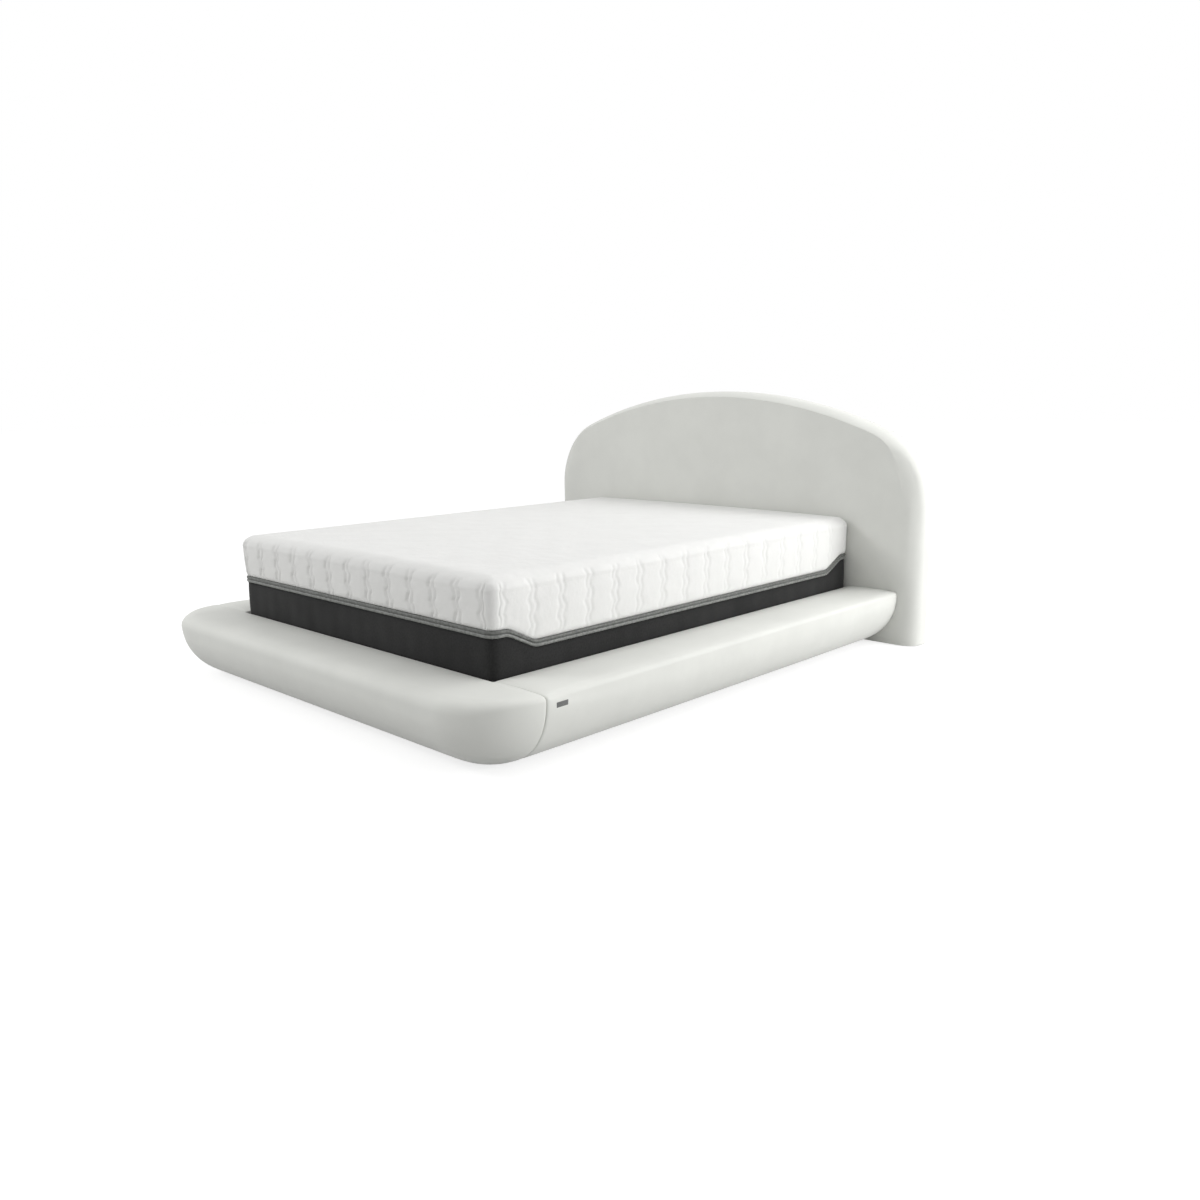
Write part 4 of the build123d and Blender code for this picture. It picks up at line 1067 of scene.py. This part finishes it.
class BED_OT_tape(Operator):
    """Gather the two cords of the mattress's tape and stitch their edges"""

    bl_idname = "bed.tape"
    bl_label = "Tape and its stitches"

    def execute(self, context):
        sizes = context.scene.bed_sizes
        step, fold_pitch = 0.005, 0.0165
        points, normals, _ = mattress_samples(sizes, step=step)
        outline = points, normals
        middle = tape_height(sizes, points[:, 1])
        steps = len(points)
        walk = np.arange(steps)
        folds = round(steps * step / fold_pitch)
        # Smoothed noise that shifts the folds, so that they are not even
        drift = np.random.default_rng(9).normal(0, 1, steps)
        drift = np.real(np.fft.ifft(np.fft.fft(drift) * np.exp(-((np.fft.fftfreq(steps) * 60) ** 2)))) * 3
        half = sizes.tape_cord / 2
        cords = (("upper", "tape_dark", half, 1), ("lower", "tape_light", -half, 0.6))
        for name, slot, centre, lean in cords:
            rows = []
            for bend in np.linspace(-math.pi / 2, math.pi / 2, 9):
                wave = np.sin(2 * math.pi * folds * walk / steps + lean * 1.8 * bend + drift)
                out = cord_proud * math.cos(bend) ** 0.8 * (1 - 0.16 * (1 + wave) * math.cos(bend))
                height = middle + centre + (half - 0.0002) * math.sin(bend)
                rows.append(ring_at(sizes, outline, 0, height, out))
            for inset, share in ((0.002, 1), (lining_inset, 1), (lining_inset, -1), (0.002, -1)):
                rows.append(ring_at(sizes, outline, inset, middle + centre + (half - 0.0002) * share))
            rows.append(rows[0])
            piece = welded(f"tape_{name}_cord", rows)
            dress(piece, "mattress", slot, f"mattress_{name}_cord", fill=0.7)
        pitch = sizes.stitch_pitch
        for name, slot, shift, out in (
            ("upper", "cover_knit", 2 * half + 0.0035, 0.0026),
            ("lower", "border_knit", -2 * half - 0.0035, 0.0014),
        ):
            path = ring_at(sizes, outline, 0, middle + shift, out)
            stitches = dashes(f"tape_{name}_stitches", [path], slot, pitch, pitch * 0.72, 0.0005, 0.12)
            dress(stitches, "mattress", slot)
        return {"FINISHED"}


def pocket_tree(slot):
    """A field of spring pockets, each drawn in at both ends where its cloth is welded."""
    defaults = {"Width": 1.0, "Length": 1.0, "Across": 2, "Along": 2, "Radius": 0.03, "Height": 0.2}
    tree, given = new_tree("spring_pockets", **defaults)
    grid = {"Size X": "Width", "Size Y": "Length", "Vertices X": "Across", "Vertices Y": "Along"}
    field = add_node(tree, "GeometryNodeMeshGrid", {socket: given[name] for socket, name in grid.items()})
    barrel = {"Vertices": 10, "Side Segments": 6, "Radius": given["Radius"], "Depth": given["Height"]}
    pocket = add_node(tree, "GeometryNodeMeshCylinder", barrel)
    place = add_node(tree, "GeometryNodeInputPosition")
    parts = add_node(tree, "ShaderNodeSeparateXYZ", {0: place.outputs[0]}).outputs
    level = calculate(tree, "DIVIDE", parts["Z"], given["Height"])
    pull = calculate(tree, "MULTIPLY", calculate(tree, "MULTIPLY", level, level), -0.9)
    shifts = {axis: calculate(tree, "MULTIPLY", parts[axis], pull) for axis in ("X", "Y")}
    moved = {
        "Geometry": pocket.outputs["Mesh"],
        "Offset": add_node(tree, "ShaderNodeCombineXYZ", shifts).outputs[0],
    }
    drawn = add_node(tree, "GeometryNodeSetPosition", moved).outputs["Geometry"]
    made = add_node(
        tree, "GeometryNodeInstanceOnPoints", {"Points": field.outputs["Mesh"], "Instance": drawn}
    )
    close_tree(tree, made.outputs["Instances"], slot)
    return tree


class BED_OT_mattress_filling(Operator):
    """Fill the mattress: pocket springs and layers of foam"""

    bl_idname = "bed.mattress_filling"
    bl_label = "Mattress filling"

    def execute(self, context):
        sizes = context.scene.bed_sizes
        layers = (
            ("base_foam_layer", "mattress_base_foam", 1),
            ("side_foam_strips", "mattress_side_foam", 1),
            ("end_foam_strips", "mattress_end_foam", 1),
            ("transition_foam_layer", "mattress_transition_foam", 0.95),
            ("comfort_foam_layer", "mattress_comfort_foam", 0.9),
        )
        for name, node, fill in layers:
            dress(softened(name, node, 0.003), "mattress", "foam", node, fill=fill)
        low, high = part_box("mattress_spring_unit")
        across, along = (round((high[axis] - low[axis]) / sizes.pocket_width) for axis in (0, 1))
        width, length = (high.x - low.x) / across, (high.y - low.y) / along
        piece = add_object("spring_pockets", bpy.data.meshes.new("spring_pockets"))
        run_tree(
            piece,
            pocket_tree("spring_fabric"),
            Width=high.x - low.x - width,
            Length=high.y - low.y - length,
            Across=across,
            Along=along,
            Radius=min(width, length) / 2 - 0.0003,
            Height=high.z - low.z - 0.0008,
        )
        piece.data.transform(Matrix.Translation((low + high) / 2))
        dress(piece, "mattress", "spring_fabric", "mattress_spring_unit", fill=1)
        return {"FINISHED"}


class BED_OT_base(Operator):
    """Finish the slatted base, boards and fittings, and lay the webbing and the tab"""

    bl_idname = "bed.base"
    bl_label = "Base, boards and fittings"

    def execute(self, context):
        for row in frame["record"]["subparts"]:
            materials = nodes[row["node"]].data.materials
            materials.clear()
            materials.append(finish(row["material_slot"]))
        straps = softened("slat_webbing", "slat_straps", 0.0005)
        dress(straps, "frame", "webbing", "slat_straps")
        low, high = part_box("slat_straps")
        pitch = (high.y - low.y - slat_width) / (slat_count - 1)
        start, end = (low.y + slat_width / 2 - pitch / 2, high.y - slat_width / 2 + pitch / 2)
        steps = 2 * slat_count
        paths = []
        for side in (-1, 1):
            for shift in (-0.007, 0.007):
                across = side * (high.x - strap_width / 2) + shift
                along = [start + (end - start) * n / steps for n in range(steps + 1)]
                paths.append([(across, place, low.z - 0.0002) for place in along])
        staples = dashes("webbing_staples", paths, "zinc_steel", pitch, 0.009, 0.0006, 0.2)
        dress(staples, "frame", "zinc_steel")
        tab = softened("woven_tab", "fabric_tab", 0.0006)
        dress(tab, "frame", "tab_weave", "fabric_tab")
        return {"FINISHED"}


# Floor, light and camera


def area_lamp(name, place, aim, width, height, power):
    """A soft rectangular lamp that looks at a point."""
    lamp = bpy.data.lights.new(name, "AREA")
    lamp.shape = "RECTANGLE"
    lamp.size, lamp.size_y, lamp.energy = width, height, power
    holder = add_object(name, lamp)
    holder.location = place
    holder.rotation_euler = (Vector(place) - Vector(aim)).to_track_quat("Z", "Y").to_euler()


def mixed_by_sight(tree, unseen, seen):
    """One shader for light that falls on the bed, another for what is seen directly, in gloss or through."""
    rays = add_node(tree, "ShaderNodeLightPath").outputs
    sight = calculate(tree, "MAXIMUM", rays["Is Camera Ray"], rays["Is Glossy Ray"])
    sight = calculate(tree, "MAXIMUM", sight, rays["Is Transmission Ray"])
    return add_node(tree, "ShaderNodeMixShader", {0: sight, 1: unseen, 2: seen}).outputs[0]


def grey(share):
    """A neutral colour."""
    return (share, share, share, 1)


def set_camera(scene):
    """Puts the camera where the photo's stood."""
    flat = math.cos(elevation)
    back = Vector((math.sin(azimuth) * flat, -math.cos(azimuth) * flat, math.sin(elevation)))
    right = Vector((math.cos(azimuth), math.sin(azimuth), 0))
    up = back.cross(right)
    level, tilt = math.cos(roll), math.sin(roll)
    turned = (right * level + up * tilt, up * level - right * tilt, back)
    camera = add_object("camera", bpy.data.cameras.new("camera"))
    placed = Matrix([list(axis) for axis in turned]).transposed().to_4x4()
    placed.translation = camera_place
    camera.matrix_world = placed
    camera.data.sensor_width = sensor_width
    camera.data.lens = focal_pixels / frame_pixels * sensor_width
    camera.data.shift_x = (frame_pixels / 2 - centre_across) / frame_pixels
    camera.data.shift_y = (centre_down - frame_pixels / 2) / frame_pixels
    camera.data.clip_end = 100
    scene.camera = camera


def lay_floor():
    """A wide floor under the bed."""
    places = np.linspace(-40, 40, 9)
    floor = welded("floor", [[(x, y, 0) for x in places] for y in places])
    made, tree, surface, _ = shader("painted_floor", Roughness=0.9)
    tree.nodes.remove(surface)
    pale = add_node(tree, "ShaderNodeBsdfDiffuse", {"Color": grey(floor_shown)}).outputs[0]
    lit = add_node(tree, "ShaderNodeEmission", {"Color": grey(1), "Strength": floor_glow}).outputs[0]
    shown = add_node(tree, "ShaderNodeAddShader", {0: pale, 1: lit}).outputs[0]
    plain = add_node(tree, "ShaderNodeBsdfDiffuse", {"Color": grey(floor_plain)}).outputs[0]
    ends = [node for node in tree.nodes if node.bl_idname == "ShaderNodeOutputMaterial"]
    tree.links.new(mixed_by_sight(tree, plain, shown), ends[0].inputs["Surface"])
    floor.data.materials.append(made)


def light_world(scene):
    """A white surround that lights the bed less than it shows."""
    world = bpy.data.worlds.new("studio")
    scene.world = world
    world.use_nodes = True
    tree = world.node_tree
    tree.nodes.clear()
    soft, white = (
        add_node(tree, "ShaderNodeBackground", {"Color": grey(1), "Strength": strength}).outputs[0]
        for strength in (world_light, 1)
    )
    add_node(tree, "ShaderNodeOutputWorld", {"Surface": mixed_by_sight(tree, soft, white)})


class BED_OT_stage(Operator):
    """Set the floor, the light and the camera"""

    bl_idname = "bed.stage"
    bl_label = "Floor, light and camera"

    def execute(self, context):
        scene = context.scene
        scene.view_settings.view_transform = "Standard"
        set_camera(scene)
        lay_floor()
        light_world(scene)
        for lamp in lamps:
            area_lamp(*lamp)
        return {"FINISHED"}


class BED_PT_panel(Panel):
    """Lists the pieces of the bed"""

    bl_idname = "BED_PT_panel"
    bl_label = "Upholstered bed"
    bl_space_type = "VIEW_3D"
    bl_region_type = "UI"
    bl_category = "Bed"

    def draw(self, context):
        for operator in operators:
            self.layout.operator(operator.bl_idname)
        for group in (context.scene.bed_sizes, context.scene.bed_colours):
            column = self.layout.column()
            for name in group.__annotations__:
                column.prop(group, name)


operators = (
    BED_OT_stage,
    BED_OT_base,
    BED_OT_footboard,
    BED_OT_side_rails,
    BED_OT_headboard,
    BED_OT_mattress_filling,
    BED_OT_mattress_border,
    BED_OT_mattress_cover,
    BED_OT_tape,
)
classes = (BedSizes, BedColours, *operators, BED_PT_panel)


def register():
    """Registers every class and the two groups of properties."""
    for made in classes:
        bpy.utils.register_class(made)
    bpy.types.Scene.bed_sizes = PointerProperty(type=BedSizes)
    bpy.types.Scene.bed_colours = PointerProperty(type=BedColours)


def unregister():
    """Takes all of it away again."""
    del bpy.types.Scene.bed_colours
    del bpy.types.Scene.bed_sizes
    for made in reversed(classes):
        bpy.utils.unregister_class(made)


def main():
    """Builds the whole dressed bed."""
    register()
    for operator in operators:
        getattr(bpy.ops.bed, operator.bl_idname.split(".")[1])()


if __name__ == "__main__":
    main()
